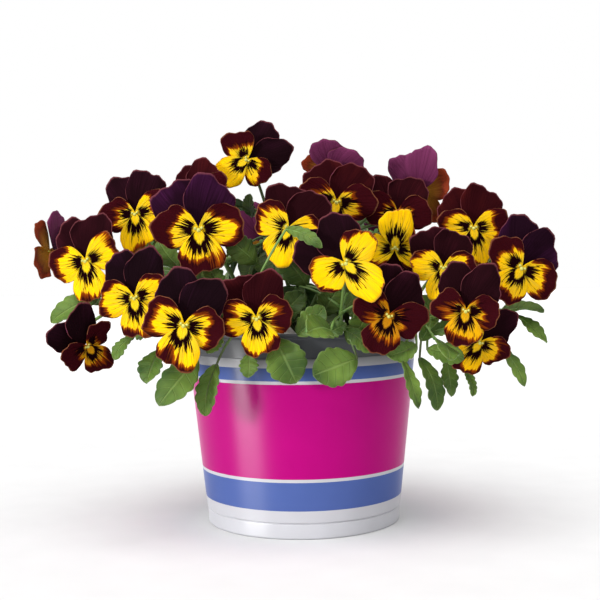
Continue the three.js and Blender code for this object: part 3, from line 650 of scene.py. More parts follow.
def thicken(piece, thickness):
    """Gives a blade its thickness, centred on its surface, with the next material on its reverse."""
    solid = piece.modifiers.new("Blade thickness", "SOLIDIFY")
    solid.thickness = thickness
    solid.offset = 0
    solid.material_offset = 1
    solid.use_even_offset = False


# Materials

# The numbers of a map range are where its value comes from, low and high, and then where it goes to,
# which is 0 to 1 where that is left out; those of a noise are its scale and its detail

PRINT_WHITE = "#c1c1c6"
# Grey of the collar: painted shade on white plastic, where the plants above shade it
COLLAR_SHADE_GREY = "#808288"
THIN = {"Subsurface Weight": 0.1, "Subsurface Scale": 0.8 * MM}  # light soaks a little way into a blade

# How close the broad and the fine streaks lie across and along a petal, and from one petal to the next
STREAK_SCALES = [(7.0, 1.0, 1.0), (22.0, 0.8, 1.0)]

# On a side petal and on the lowest, as shares of its length: how far the blotch reaches, how it falls back
# towards the petal's sides, where the dark marks start, and how far the whiskers run
MARK_LIMITS = [(0.44, 0.54), (-0.62, -0.34), (0.1, 0.28), (0.76, 0.9)]

PetalValues = namedtuple("PetalValues", "t s look lower spot streak fine")


def linear(code):
    """An sRGB hex colour as linear red, green, blue and alpha."""
    parts = [int(code[i : i + 2], 16) / 255 for i in (1, 3, 5)]
    return (*(c / 12.92 if c <= 0.04045 else ((c + 0.055) / 1.055) ** 2.4 for c in parts), 1.0)


def output_of(value):
    """The output of a node that is in use, or the value itself where it isn't a node."""
    if isinstance(value, bpy.types.Node):
        return next(output for output in value.outputs if output.enabled)
    return value


def put(tree, kind, *inputs, stops=(), **settings):
    """Adds a node with its settings and colour stops, and sets or links its shown inputs in order."""
    node = tree.nodes.new("ShaderNode" + kind)
    for name, value in settings.items():
        setattr(node, name, value)
    for share, _ in stops[2:]:
        node.color_ramp.elements.new(share)
    for k, (share, colour) in enumerate(stops):
        node.color_ramp.elements[k].position = share
        node.color_ramp.elements[k].color = linear(colour) if isinstance(colour, str) else colour
    shown = [socket for socket in node.inputs if socket.enabled]
    for socket, value in zip(shown, map(output_of, inputs)):
        if isinstance(value, bpy.types.NodeSocket):
            tree.links.new(value, socket)
        else:
            socket.default_value = linear(value) if isinstance(value, str) else value
    return node


def new_material(name, values):
    """A material with its constant values on the shader's own sockets, and what adds a node to it."""
    material = bpy.data.materials.new(name)
    material.use_nodes = True
    for socket, value in values.items():
        material.node_tree.nodes["Principled BSDF"].inputs[socket].default_value = value
    return material, partial(put, material.node_tree)


def finished(material, colour, height=None, depth=0.0):
    """Gives a material its colour and, by a height pattern and its depth in millimetres, its relief."""
    tree = material.node_tree
    shader = tree.nodes["Principled BSDF"]
    tree.links.new(output_of(colour), shader.inputs["Base Color"])
    if height:
        relief = put(tree, "Bump")
        relief.inputs["Distance"].default_value = depth * MM
        tree.links.new(output_of(height), relief.inputs["Height"])
        tree.links.new(relief.outputs["Normal"], shader.inputs["Normal"])
    return material


# Polypropylene pot, injection moulded and printed: a hard gloss with crisp flat bands of ink, a grey of
# painted shade on the collar and painted shade darkening the wall below it.
# The turned mould leaves fine rings round the wall, which draw its highlights out upwards and downwards
def printed_polypropylene(settings):
    gloss = {"Roughness": 0.36, "Specular IOR Level": 0.07, "Anisotropic": 0.85, "Anisotropic Rotation": 0.25}
    material, add = new_material("Printed polypropylene", gloss)
    spot = add("TexCoord").outputs["Object"]
    height = add("SeparateXYZ", spot).outputs["Z"]
    share = add("Math", height, POT_HEIGHT * MM, operation="DIVIDE")
    stripe, wide = (*settings.stripe_ink, 1), (*settings.wide_band_ink, 1)
    bands = [
        (0, PRINT_WHITE), (WHITE_FOOT_TOP, stripe), (LOWER_STRIPE_TOP, PRINT_WHITE), (LOWER_LINE_TOP, wide),
        (WIDE_BAND_TOP, PRINT_WHITE), (UPPER_LINE_TOP, stripe), (UPPER_STRIPE_TOP, PRINT_WHITE),
        # Above the band top the collar takes the painted shade grey
        (BAND_TOP, COLLAR_SHADE_GREY),
    ]
    ramp = add("ValToRGB", share, stops=[(z / POT_HEIGHT, ink) for z, ink in bands])
    ramp.color_ramp.interpolation = "CONSTANT"
    mottle = add("TexNoise", spot, 1 / (18 * MM), 3.0)
    depth = add("MapRange", mottle, 0.0, 1.0, 0.94, 1.04)
    # Painted shade: the wall darkens from the upper line up to the band top, and the collar above stays at
    # the darkest, as where the overhanging plants shade it
    low, high = UPPER_LINE_TOP * MM, BAND_TOP * MM
    dust_and_shade = add("MapRange", height, low, high, 1.0, 0.36)
    depth = add("Math", depth, dust_and_shade, operation="MULTIPLY")
    colour = add("Mix", 1.0, ramp, depth, data_type="RGBA", blend_type="MULTIPLY")
    grain = add("TexNoise", spot, 1 / (1.2 * MM), 2.0)
    return finished(material, colour, grain, 0.02)


# The same polypropylene unprinted, inside the pot: off-white, mottled with soil dust
def bare_polypropylene():
    material, add = new_material("Bare polypropylene", {"Roughness": 0.4})
    spot = add("TexCoord").outputs["Object"]
    dust_and_shade = add("TexNoise", spot, 1 / (5 * MM), 5.0)
    return finished(material, add("ValToRGB", dust_and_shade, stops=[(0.35, "#8d8377"), (0.6, "#dcdad6")]))


# Peat potting mix: dark crumbs with pale specks of perlite, rough and matt
def potting_mix():
    material, add = new_material("Peat potting mix", {"Roughness": 0.95, "Specular IOR Level": 0.2})
    spot = add("TexCoord").outputs["Object"]
    crumbs = add("TexNoise", spot, 1 / (3.5 * MM), 8.0)
    peat = add("ValToRGB", crumbs, stops=[(0.3, "#140c07"), (0.7, "#4a3423"), (0.701, "#2b1c12")])
    specks = add("TexVoronoi", spot, 1 / (6 * MM))
    near = add("MapRange", specks, 0.2, 0.13)
    colour = add("Mix", near, peat, "#b9b1a2", data_type="RGBA")
    return finished(material, colour, crumbs, 1.6)


def petal_values(add):
    """What every petal pattern starts from: where it is on the petal, its bloom's looks, and its streaks."""
    uv = add("SeparateXYZ", add("UVMap"))
    t = add("Math", uv.outputs["X"], 2.0, -1.0, operation="MULTIPLY_ADD")
    s = uv.outputs["Y"]
    look = add("SeparateXYZ", add("Attribute", attribute_name="look").outputs["Vector"])
    lower = add("Attribute", attribute_name="lower").outputs["Fac"]
    seed = add("Math", look.outputs["Z"], 3.7, lower, operation="MULTIPLY_ADD")
    seeded = add("CombineXYZ", t, s, seed)
    scaled = [add("VectorMath", seeded, scale, operation="MULTIPLY") for scale in STREAK_SCALES]
    streak, fine = (add("TexNoise", at, 1.0, 3.0) for at in scaled)
    return PetalValues(t, s, look, lower, add("CombineXYZ", t, s, look.outputs["Z"]), streak, fine)


def rimmed(add, petal, colour, rim, strength):
    """A petal's colour with a paler rim, in the last sliver along its end and its sides."""
    side = add("Math", petal.t, operation="ABSOLUTE")
    outer = add("Math", petal.s, 0.5, operation="GREATER_THAN")
    side = add("Math", side, outer, operation="MULTIPLY")
    edge = add("Math", side, petal.s, operation="MAXIMUM")
    share = add("MapRange", edge, 0.962, 0.99, 0.0, strength)
    return add("Mix", share, colour, rim, data_type="RGBA")


def margin_of(add, petal):
    """How far past the start of the maroon margin a point is, from 0 to 1."""
    t, s, look, lower, spot, streak, fine = petal
    # Past the rim and the upper side of a side petal, and past the tip of the lowest
    outer = add("Math", t, 0.17, s, operation="MULTIPLY_ADD")
    upper = add("Math", t, 0.66, 0.16, operation="MULTIPLY_ADD")
    clear = add("MapRange", s, 0.12, 0.5)
    upper = add("Math", upper, clear, operation="MULTIPLY")
    lateral = add("Math", outer, upper, operation="MAXIMUM")
    side = add("Math", t, operation="ABSOLUTE")
    lowest = add("Math", side, -0.1, -0.2, operation="MULTIPLY_ADD")
    lowest = add("Math", lowest, s, operation="ADD")
    near = add("Mix", lower, lateral, lowest)
    broad = add("TexNoise", spot, 1.6, 0.0)
    for pattern, strength in ((streak, 0.5), (fine, 0.3), (broad, 0.7)):
        near = add("Math", pattern, strength, near, operation="MULTIPLY_ADD")
    near = add("Math", near, look.outputs["X"], operation="SUBTRACT")
    return add("MapRange", near, 0.73, 0.91)


def dark_marks(add, petal):
    """The blotch, a ragged fan or crescent, and the whiskers that taper away from it, from 0 to 1."""
    t, s, _, lower, _, streak, fine = petal
    reach, narrow, start, far = (add("Mix", lower, *limits) for limits in MARK_LIMITS)
    side = add("Math", t, operation="ABSOLUTE")
    bend = add("Math", side, side, operation="MULTIPLY")
    bend = add("Math", bend, narrow, operation="MULTIPLY")
    ragged = add("Math", fine, 0.9, -0.46, operation="MULTIPLY_ADD")
    limit = add("Math", reach, bend, operation="ADD")
    limit = add("Math", limit, ragged, operation="ADD")
    inside = add("Math", limit, s, operation="SUBTRACT")
    blotch = add("MapRange", inside, -0.012, 0.03)

    # Both leave the throat clear
    back = add("Math", lower, -0.3, operation="MULTIPLY")
    start = add("Math", side, back, start, operation="MULTIPLY_ADD")
    gone = add("Math", s, start, operation="SUBTRACT")
    gone = add("Math", fine, 0.16, gone, operation="MULTIPLY_ADD")
    gone = add("Math", gone, 0.08, operation="SUBTRACT")
    begun = add("MapRange", gone, 0.0, 0.05)
    blotch = add("Math", blotch, begun, operation="MULTIPLY")

    sway = add("Math", streak, 6.0, operation="MULTIPLY")
    turn = add("Math", t, 13.0, sway, operation="MULTIPLY_ADD")
    line = add("Math", add("Math", turn, operation="SINE"), operation="ABSOLUTE")
    slim = add("MapRange", s, 0.1, far, 0.46, 0.0)
    whisker = add("Math", slim, line, operation="SUBTRACT")
    whisker = add("MapRange", whisker, 0.0, 0.1)
    middle = add("MapRange", side, 0.78, 0.6)
    for limit in (middle, begun):
        whisker = add("Math", whisker, limit, operation="MULTIPLY")
    return add("Math", blotch, whisker, operation="MAXIMUM")


# Face of the three lower petals: velvet yellow that feathers through red into a maroon margin,
# with a near-black blotch and whiskers round the throat
def face_petal(settings):
    velvet = {"Roughness": 0.8, "Specular IOR Level": 0.0, **THIN}
    material, add = new_material("Pansy petal, yellow face", velvet)
    petal = petal_values(add)
    past = margin_of(add, petal)
    throat = add("ValToRGB", petal.s, stops=[(0.0, "#c9bf3c"), (1.0, "#eaa906")])
    strand = add("MapRange", petal.fine, 0.35, 0.55)
    yellow = (*settings.petal_yellow, 1)
    clean = add("Mix", strand, throat, yellow, data_type="RGBA")
    amber = petal.look.outputs["Y"]
    burnt = add("Mix", amber, clean, "#a9540c", data_type="RGBA")
    feather = add("ValToRGB", past, stops=[(0.0, "#9c440c"), (0.996, "#1e060b"), (1.0, "#320a10")])
    cover = add("MapRange", past, 0.0, 0.2)
    edged = add("Mix", cover, burnt, feather, data_type="RGBA")
    marked = add("Mix", dark_marks(add, petal), edged, "#140407", data_type="RGBA")
    return finished(material, rimmed(add, petal, marked, "#a86a48", 0.45), petal.fine, PETAL_RELIEF)


# Face of the two upper petals: near-black velvet, tinted wine red or violet by bloom, that turns in patches
# to a brighter tone towards the rim, partly the petal's own streaked colour and partly a painted highlight
def upper_petal(settings):
    velvet = {"Roughness": 0.8, "Specular IOR Level": 0.0}
    material, add = new_material("Pansy petal, dark face", velvet)
    petal = petal_values(add)
    wine = petal.look.outputs["Y"]
    violet = add("Math", wine, -1.0, operation="MULTIPLY")
    tones = []
    for plain, red, purple in (
        ((*settings.petal_dark, 1), "#2b0a0e", "#200b1a"),
        ("#27101f", "#4a1513", "#43193f"),
    ):
        tone = add("Mix", wine, plain, red, data_type="RGBA")
        tones.append(add("Mix", violet, tone, purple, data_type="RGBA"))
    deep, bright = tones
    # Partly painted highlight: noisy patches, more of them towards the rim, take the brighter tone
    share = add("Math", petal.s, 0.35, operation="MULTIPLY")
    share = add("Math", petal.fine, 0.5, share, operation="MULTIPLY_ADD")
    share = add("MapRange", share, 0.4, 0.75)
    patch = add("TexNoise", petal.spot, 1.3, 1.0)
    patch = add("MapRange", patch, 0.45, 0.65)
    share = add("Math", share, patch, operation="MULTIPLY")
    lit = add("Mix", share, deep, bright, data_type="RGBA")
    return finished(material, rimmed(add, petal, lit, "#8a4a50", 0.5), petal.fine, PETAL_RELIEF)


def petal_reverse(name, streaks, along, stops):
    """The reverse of a petal: matt, in colours that run along it in fine veins."""
    material, add = new_material(name, {"Roughness": 0.7, "Specular IOR Level": 0.08})
    petal = petal_values(add)
    share = add("Math", petal.s, along, operation="MULTIPLY")
    share = add("Math", petal.fine, streaks, share, operation="MULTIPLY_ADD")
    return finished(material, add("ValToRGB", share, stops=stops), petal.fine, PETAL_RELIEF)


# Reverse of the lower petals: the maroon shows through as brown-red, with a yellow foot
def face_petal_reverse():
    stops = [(0.14, "#c98e2a"), (0.996, "#6b2417"), (1.0, "#86331a")]
    return petal_reverse("Pansy petal, yellow face reverse", 0.4, 1.0, stops)


# Reverse of the upper petals: paler magenta-purple
def upper_petal_reverse():
    return petal_reverse("Pansy petal, dark face reverse", 0.6, 0.4, [(0.25, "#481430"), (0.85, "#7d3560")])


# Throat of a bloom: the pale green stigma and its cream beard
def stigma():
    material, add = new_material("Pansy stigma", {"Roughness": 0.5})
    spot = add("TexCoord").outputs["Object"]
    fuzz = add("TexNoise", spot, 1 / (0.8 * MM), 2.0)
    return finished(material, add("ValToRGB", fuzz, stops=[(0.3, "#a3ad3a"), (0.7, "#dfd77a")]))


def leaf_values(add):
    """Where a blade's midrib and side veins run, from 0 to 1, patches of growth, and its pale rim."""
    uv = add("SeparateXYZ", add("UVMap"))
    t = add("Math", uv.outputs["X"], 2.0, -1.0, operation="MULTIPLY_ADD")
    side = add("Math", t, operation="ABSOLUTE")
    midrib = add("MapRange", side, 0.1, 0.03)
    lag = add("Math", side, -0.16, uv.outputs["Y"], operation="MULTIPLY_ADD")
    turn = add("Math", lag, 6 * math.pi, operation="MULTIPLY")
    line = add("Math", add("Math", turn, operation="SINE"), operation="ABSOLUTE")
    branch = add("MapRange", line, 0.22, 0.04, 0.0, 0.55)
    veins = add("Math", midrib, branch, operation="MAXIMUM")
    spot = add("TexCoord").outputs["Object"]
    patches = add("TexNoise", spot, 1 / (26 * MM), 4.0)
    rim = add("Math", side, uv.outputs["Y"], operation="MAXIMUM")
    rim = add("MapRange", rim, 0.95, 1.0, 0.0, 0.3)
    return veins, patches, rim


def painted_inner_shade(add, colour):
    """A colour with painted shade: darker near the pot's axis, where the plants shade their inner leaves and
    stems.
    """
    flat = add("VectorMath", add("TexCoord").outputs["Object"], (1, 1, 0), operation="MULTIPLY")
    out = add("VectorMath", flat, operation="LENGTH").outputs["Value"]
    near, far = 45 * MM, 115 * MM
    unshaded_share = add("MapRange", out, near, far, 0.35, 1.0)
    return add("Mix", 1.0, colour, unshaded_share, data_type="RGBA", blend_type="MULTIPLY")


# Leaf blade: a half-matt green, darker between paler veins
def leaf_top(settings):
    waxy = {"Roughness": 0.5, "Specular IOR Level": 0.22, **THIN}
    material, add = new_material("Pansy leaf, upper side", waxy)
    veins, patches, rim = leaf_values(add)
    patches = add("MapRange", patches, 0.32, 0.68)
    light = (*settings.leaf_green, 1)
    green = add("Mix", patches, "#304b18", light, data_type="RGBA")
    vein = add("Math", veins, 0.28, operation="MULTIPLY")
    veined = add("Mix", vein, green, "#93ab62", data_type="RGBA")
    colour = add("Mix", rim, veined, "#93a76c", data_type="RGBA")
    sunk = add("Math", 1.0, veins, operation="SUBTRACT")
    return finished(material, painted_inner_shade(add, colour), sunk, VEIN_RELIEF)


# The same blade from below: greyer and paler, with the veins standing out
def leaf_underside():
    matt = {"Roughness": 0.6, "Specular IOR Level": 0.18, **THIN}
    material, add = new_material("Pansy leaf, underside", matt)
    veins, patches, _ = leaf_values(add)
    green = add("Mix", patches, "#4f7a3c", "#749a5c", data_type="RGBA")
    vein = add("Math", veins, 0.6, operation="MULTIPLY")
    colour = add("Mix", vein, green, "#9cb97c", data_type="RGBA")
    return finished(material, painted_inner_shade(add, colour), veins, VEIN_RELIEF)


# Shoots, stalks and petioles: smooth pale green, browner near the soil
def stem_skin():
    smooth = {"Roughness": 0.42, "Specular IOR Level": 0.4, **THIN}
    material, add = new_material("Pansy stem", smooth)
    spot = add("TexCoord").outputs["Object"]
    height = add("SeparateXYZ", spot).outputs["Z"]
    blush = add("TexNoise", spot, 1 / (9 * MM), 3.0)
    low, high = (SOIL_TOP - 2) * MM, (SOIL_TOP + 20) * MM
    rise = add("MapRange", height, low, high)
    tone = add("Mix", blush, "#5f8a3c", "#8fb05c", data_type="RGBA")
    colour = add("Mix", rise, "#4e5a30", tone, data_type="RGBA")
    return finished(material, painted_inner_shade(add, colour))


# Pot and soil


def make_pot(settings):
    collar = wall_radius(POT_HEIGHT) - COLLAR_STEP
    bead = collar + RIM_BEAD
    outside = [
        (0, 0), (20, 0), (22, BASE_RISE), (57, BASE_RISE), (59, 0), (FOOT_RADIUS - 0.9, 0), (FOOT_RADIUS, 1),
        (FOOT_RADIUS + 0.1, FOOT_HEIGHT - 0.6), (FOOT_RADIUS - 0.7, FOOT_HEIGHT),
        (wall_radius(FOOT_HEIGHT + 1), FOOT_HEIGHT + 0.7), (wall_radius(BAND_TOP), BAND_TOP),
        (wall_radius(BAND_TOP) - COLLAR_STEP, BAND_TOP + 0.8), (collar, POT_HEIGHT - 4),
        (bead, POT_HEIGHT - 3), (bead, POT_HEIGHT - 0.8), (bead - 0.8, POT_HEIGHT),
    ]
    floor = BASE_RISE + WALL
    inside = [
        (collar - WALL, POT_HEIGHT), (wall_radius(BAND_TOP) - COLLAR_STEP - WALL, BAND_TOP),
        (FOOT_RADIUS - WALL, FOOT_HEIGHT), (FOOT_RADIUS - WALL - 3, floor), (0, floor),
    ]
    bm = bmesh.new()
    spun(bm, rounded(outside + inside, 0.5), settings.pot_sides)
    for face in bm.faces:
        middle = face.calc_center_median() / MM
        inner = wall_radius(middle.z) - COLLAR_STEP - WALL / 2
        hollow = middle.z > floor - 0.1 and math.hypot(middle.x, middle.y) < inner
        face.material_index = 1 if hollow else 0
    materials = [printed_polypropylene(settings), bare_polypropylene()]
    pot = new_piece("printed_pot", bm, materials, "printed_pot", "pot")
    pierce(pot)
    pot.data.set_sharp_from_angle(angle=math.radians(40))


def pierce(pot):
    """Cuts the drain holes through the pot's base."""
    bm = bmesh.new()
    for i in range(DRAIN_HOLES):
        angle = math.radians(360 / DRAIN_HOLES * (i + 0.5))
        hole = bmesh.ops.create_cone(
            bm, cap_ends=True, segments=24, depth=DRAIN_CUT * MM,
            radius1=DRAIN_HOLE_RADIUS * MM, radius2=DRAIN_HOLE_RADIUS * MM,
        )["verts"]
        way = Vector((math.cos(angle), math.sin(angle), 0)) * DRAIN_CIRCLE * MM
        bmesh.ops.translate(bm, verts=hole, vec=way + Vector((0, 0, (BASE_RISE + WALL) / 2 * MM)))
    cutter = mesh_object("drain_holes", bm)
    cut = pot.modifiers.new("Drain holes", "BOOLEAN")
    cut.object = cutter
    cut.solver = "EXACT"
    bpy.context.view_layer.update()
    pierced = bpy.data.meshes.new_from_object(pot.evaluated_get(bpy.context.evaluated_depsgraph_get()))
    pot.modifiers.remove(cut)
    pot.data = pierced
    bpy.data.objects.remove(cutter)


def make_soil():
    def inner(z):
        return wall_radius(z) - COLLAR_STEP - WALL - GAP

    floor = BASE_RISE + WALL + GAP
    rim = inner(SOIL_TOP)
    rings = np.linspace(rim - 2, 1.5, SOIL_RINGS)
    top = [(r, SOIL_TOP + SOIL_CROWN - SOIL_FALL * (r / rim) ** 3) for r in rings]
    profile = [
        (0, floor), (FOOT_RADIUS - WALL - 3 - 2 * GAP, floor), (FOOT_RADIUS - WALL - 2 * GAP, FOOT_HEIGHT),
        (inner(BAND_TOP) - GAP, BAND_TOP), (inner(SOIL_TOP - 3) - GAP, SOIL_TOP - 3), *top,
        (0, SOIL_TOP + SOIL_CROWN),
    ]
    bm = bmesh.new()
    spun(bm, profile, SOIL_SIDES)
    for v in bm.verts:
        if v.co.z > (SOIL_TOP - 2) * MM:
            spot = v.co / MM
            crumb = noise.noise(spot * 0.28) * 1.1 + noise.noise(spot * 0.9) * 0.8
            v.co.z += crumb * MM
    new_piece("potting_soil", bm, [potting_mix()], "soil", "soil")


# Blooms


def fine_petal(petal, at):
    """A petal's finer surface: the same form, with a rim that wavers and ripples between its veins."""
    phase = petal.phase

    def form(s, t):
        x, y, z = petal_point(petal, s, t)
        slow = 0.05 * np.sin(3.1 * t + phase) + 0.045 * np.sin(5.2 * t + 2 * phase)
        waver = 1 + s**3 * (slow + 0.02 * np.sin(15 * t + phase))
        ripple = RIPPLE * s**4 * np.sin(7.5 * t + 3 * phase) * (0.4 + 0.6 * np.abs(t))
        cup = -CUP * np.sin(math.pi * s) * (1 - t * t) if petal.kind != "back" else 0
        curl = CURL * math.sin(phase) * s**2 * np.clip(np.abs(t) - 0.45, 0, 1) ** 1.5
        return place(at, x * waver, y * waver, z + ripple + cup + curl)

    return form


def petal_mesh(petals, at, bloom, seed, settings):
    """Some of a bloom's petals, each with its looks on its points."""
    bm = bmesh.new()
    bm.verts.layers.float_vector.new("look")
    bm.verts.layers.float.new("lower")
    for k, petal in enumerate(petals):
        margin = bloom.margin + MARGIN_SPREAD * math.sin(5 * petal.phase)
        look = (margin, bloom.wine if petal.kind == "back" else bloom.amber, float(3 * seed + k))
        # Across a left side petal, t runs downwards, so its UV map is turned for the pattern
        turned = petal.kind != "back" and petal.side < 0
        lower = float(petal.kind == "lower")
        form = fine_petal(petal, at)
        surface(bm, settings.petal_columns, settings.petal_rows, form, look, lower, turned)
    return bm


def make_blooms(settings):
    faces = [face_petal(settings), face_petal_reverse()]
    backs = [upper_petal(settings), upper_petal_reverse()]
    for i, bloom in enumerate(blooms):
        petals = petals_of(i + FIRST_SEED)
        for colour, part, materials in (("yellow", "face", faces), ("dark", "back", backs)):
            own = [petal for petal in petals if (petal.kind == "back") == (part == "back")]
            bm = petal_mesh(own, bloom_frame(bloom), bloom, i, settings)
            name, node = f"bloom_{bloom.name}_{colour}_petals", f"bloom_{bloom.name}_{part}_petals"
            thicken(new_piece(name, bm, materials, f"{part}_petals", node), settings.petal_thickness)

    # The stigma and the two tufts of its beard, in the throat of each bloom
    bm = bmesh.new()
    for bloom in blooms:
        at = bloom_frame(bloom)
        for x, y, z, radius in THROAT_BALLS:
            ball = bmesh.ops.create_icosphere(bm, subdivisions=2, radius=radius * bloom.size * MM)["verts"]
            bmesh.ops.translate(bm, verts=ball, vec=Vector(place(at, x, y, z) * MM))
    new_piece("bloom_throats", bm, [stigma()], "face_petals")


# Leaves and stems

# Radii along each kind of stem, where the core of a calyx lies in front of its rear, and where a crown
# lies above the soil, in millimetres
STEM_STEPS = 18
SHOOT_RADII = (1.9, 1.4)
SHOOT_SWELL = 0.35  # at every fourth point, where leaves join
STALK_RADII = (1.25, 1.0)
PETIOLE_RADII = [1.15, *[0.85] * 6, 0.8]
RIB_STEPS = np.linspace(0.08, 0.86, 7)
RIB_RADII = (0.7, 0.25)
CROWN_RADII = (3.4, 4.0, 4.1, 3.6, 2.2)
CORE_PLACES = (0.6, 1.8, 3.6, 5.2)
CORE_RADII = (1.3, 2.2, 2.3, 1.2)
CROWN_PLACES = (-CROWN_DEPTH, -6, 0, 4, CROWN_RISE)
SEPALS = 5
LEAF_TURN = 1.7  # how much the fold and sway of a plant's leaves differ from one leaf to the next


def leaf_form(leaf, seed, teeth):
    """A blade with rounded teeth, folded a little along its midrib, with its quilting between side veins."""
    depth = float(np.interp(leaf.half, LEAF_HALVES, LEAF_NOTCHES))

    def form(s, t):
        envelope = 0.1 * (1 - s) ** 3 + 1.1 * np.sin(math.pi * np.clip(s, 0, 1) ** 1.195) ** 0.6
        lobes = np.sin(math.pi * np.mod(teeth * s, 1) ** 1.5) ** 0.6
        notch = depth * np.sin(math.pi * s) ** 0.5
        half = leaf.half * envelope * (1 - notch * (1 - lobes) * t**4)
        fold = (0.2 + 0.12 * math.sin(2 * seed)) * leaf.half * (np.abs(t) - 0.5) * np.sin(math.pi * s) ** 0.5
        quilt = QUILT * np.sin(2 * math.pi * (3 * s - 0.5 * np.abs(t))) * np.sin(math.pi * np.abs(t))
        wave = LEAF_WAVE * np.sin(7 * s + seed) * t * np.abs(t)
        return leaf_point(leaf, s, t * half + leaf_sway(leaf, seed, s), fold + quilt + wave)

    return form


def leaf_sway(leaf, seed, s):
    """How far a blade's midrib bends to one side, in millimetres."""
    return LEAF_SWAY * leaf.length * math.sin(seed) * np.sin(math.pi * s)


def sepal_form(at, angle):
    """A narrow pointed sepal that opens from behind the bloom."""
    c, n = math.cos(angle), math.sin(angle)

    def form(s, t):
        half = 1.7 * np.sin(math.pi * (0.12 + 0.88 * s)) ** 0.8
        radius = 1.2 + 3.6 * np.sin(0.5 * math.pi * s)
        x, y = radius * c - t * half * n, radius * n + t * half * c
        z = CALYX["rear"] + 1 + (CALYX["wide"] - CALYX["rear"] + 1.4) * s - 0.5 * t * t
        return place(at, x, y, z)

    return form


def add_leaf(blades, stems, leaf, ends, seed, settings):
    """A leaf's blade, and its petiole that runs on under the blade as its midrib."""
    form = leaf_form(leaf, seed, settings.leaf_teeth)
    surface(blades, settings.leaf_columns, settings.leaf_rows, form)
    under = -0.1 * leaf.half * np.sin(math.pi * RIB_STEPS) ** 0.5 - 0.35
    rib = leaf_point(leaf, RIB_STEPS, leaf_sway(leaf, seed, RIB_STEPS), under)
    radii = [*PETIOLE_RADII, *np.linspace(*RIB_RADII, len(RIB_STEPS))]
    tube(stems, [*along_curve(ends, len(PETIOLE_RADII) - 1), *rib], radii, 7)


def add_stalk(blades, stems, bloom, ends):
    """A bloom's stalk, the core of its calyx and the sepals round it."""
    at = bloom_frame(bloom)
    tube(stems, along_curve(ends, STEM_STEPS), np.linspace(*STALK_RADII, STEM_STEPS + 1), 8)
    core = [place(at, 0, 0, CALYX["rear"] + k) for k in CORE_PLACES]
    tube(stems, core, [radius * at.size for radius in CORE_RADII], 8)
    for k in range(SEPALS):
        surface(blades, 4, 6, sepal_form(at, math.radians(360 / SEPALS * k + 90)))


def of_plant(rows, plant):
    """The rows that belong to a plant, without its name."""
    return [rest for owner, *rest in rows if owner == plant]


def make_plants(settings):
    stalks, placed = lay_out()
    leaf_materials = [leaf_top(settings), leaf_underside()]
    skin = stem_skin()
    radii = np.linspace(*SHOOT_RADII, STEM_STEPS + 1)
    radii[::4] += SHOOT_SWELL
    for plant, (x, y) in PLANTS.items():
        blades = bmesh.new()
        stems = bmesh.new()
        for i, (leaf, ends) in enumerate(of_plant(placed, plant)):
            add_leaf(blades, stems, leaf, ends, LEAF_TURN * i, settings)
        for (ends,) in of_plant(shoots, plant):
            tube(stems, along_curve(ends, STEM_STEPS), radii, 10)
        for bloom, ends in of_plant(stalks, plant):
            add_stalk(blades, stems, bloom, ends)
        crown = [vec(x, y, SOIL_TOP + k) for k in CROWN_PLACES]
        tube(stems, crown, CROWN_RADII, 14)
        leaves = new_piece(f"leaves_{plant}", blades, leaf_materials, "greenery", f"plant_{plant}")
        thicken(leaves, settings.leaf_thickness)
        new_piece(f"stems_{plant}", stems, [skin], "greenery", f"plant_{plant}")


# Stage

# Where the photograph was taken from, in millimetres and degrees
CAMERA_PLACE = (-0.75, -811.8, 187.9)
CAMERA_PITCH = 1.93
CAMERA_ROLL = 0.83
CAMERA_LENS = 66.14
SENSOR_WIDTH = 36
NEAR_LIMIT = 0.01  # in metres

# The floor's reach, the lamps' places, the point that they aim at and the softboxes' sizes, in metres,
# and the key light's spread, in degrees
FLOOR_REACH = 6
LAMP_AIM = (0, 0, 0.16)
KEY_PLACE = (-0.12, -0.55, 1.9)
KEY_SPREAD = 55
STRIP_PLACE = (-1.35, -1.2, 0.5)
STRIP_WIDTH = 0.25
# The gloss softbox is flagged off the plants and shows only as the tall highlight on the pot
GLOSS_PLACE = (-0.83, -0.52, 0.4)
GLOSS_WIDTH = 0.5
GLOSS_HEIGHT = 0.8


# Photographic paper sweep: even, matt and nearly white
def paper():
    material, add = new_material("White paper", {"Roughness": 0.9, "Specular IOR Level": 0.1})
    spot = add("TexCoord").outputs["Object"]
    fibre = add("TexNoise", spot, 1 / (40 * MM), 2.0)
    near = add("ValToRGB", fibre, stops=[(0.3, "#ebebeb"), (0.7, "#eeeeee")])
    away = add("VectorMath", spot, operation="LENGTH").outputs["Value"]
    away = add("MapRange", away, 0.5, 1.6)
    return finished(material, add("Mix", away, near, "#ffffff", data_type="RGBA"))


def hang_lamp(name, kind, spot, energy, **shape):
    """A lamp that aims at the middle of the plants."""
    light = bpy.data.lights.new(name, kind)
    light.energy = energy
    for key, value in shape.items():
        setattr(light, key, value)
    lamp = bpy.data.objects.new(name, light)
    lamp.location = spot
    lamp.rotation_euler = (Vector(LAMP_AIM) - Vector(spot)).to_track_quat("-Z", "Y").to_euler()
    bpy.context.scene.collection.objects.link(lamp)
    return lamp


def keep_to(lamp, pieces):
    """Lets a lamp light these pieces alone, as black flags beside it would."""
    lit = bpy.data.collections.new(f"Lit by the {lamp.name}")
    for piece in pieces:
        lit.objects.link(piece)
    lamp.light_linking.receiver_collection = lit


def white_room(strength):
    """A white wall all round, and a dimmer ceiling of the strength given."""
    world = bpy.data.worlds.new("White room")
    world.use_nodes = True
    add = partial(put, world.node_tree)
    height = add("SeparateXYZ", add("TexCoord")).outputs["Z"]
    wall = add("MapRange", height, 0.3, 0.5, 1.0, strength)
    background = world.node_tree.nodes["Background"]
    background.inputs["Color"].default_value = (1, 1, 1, 1)
    world.node_tree.links.new(wall.outputs[0], background.inputs["Strength"])
    bpy.context.scene.world = world


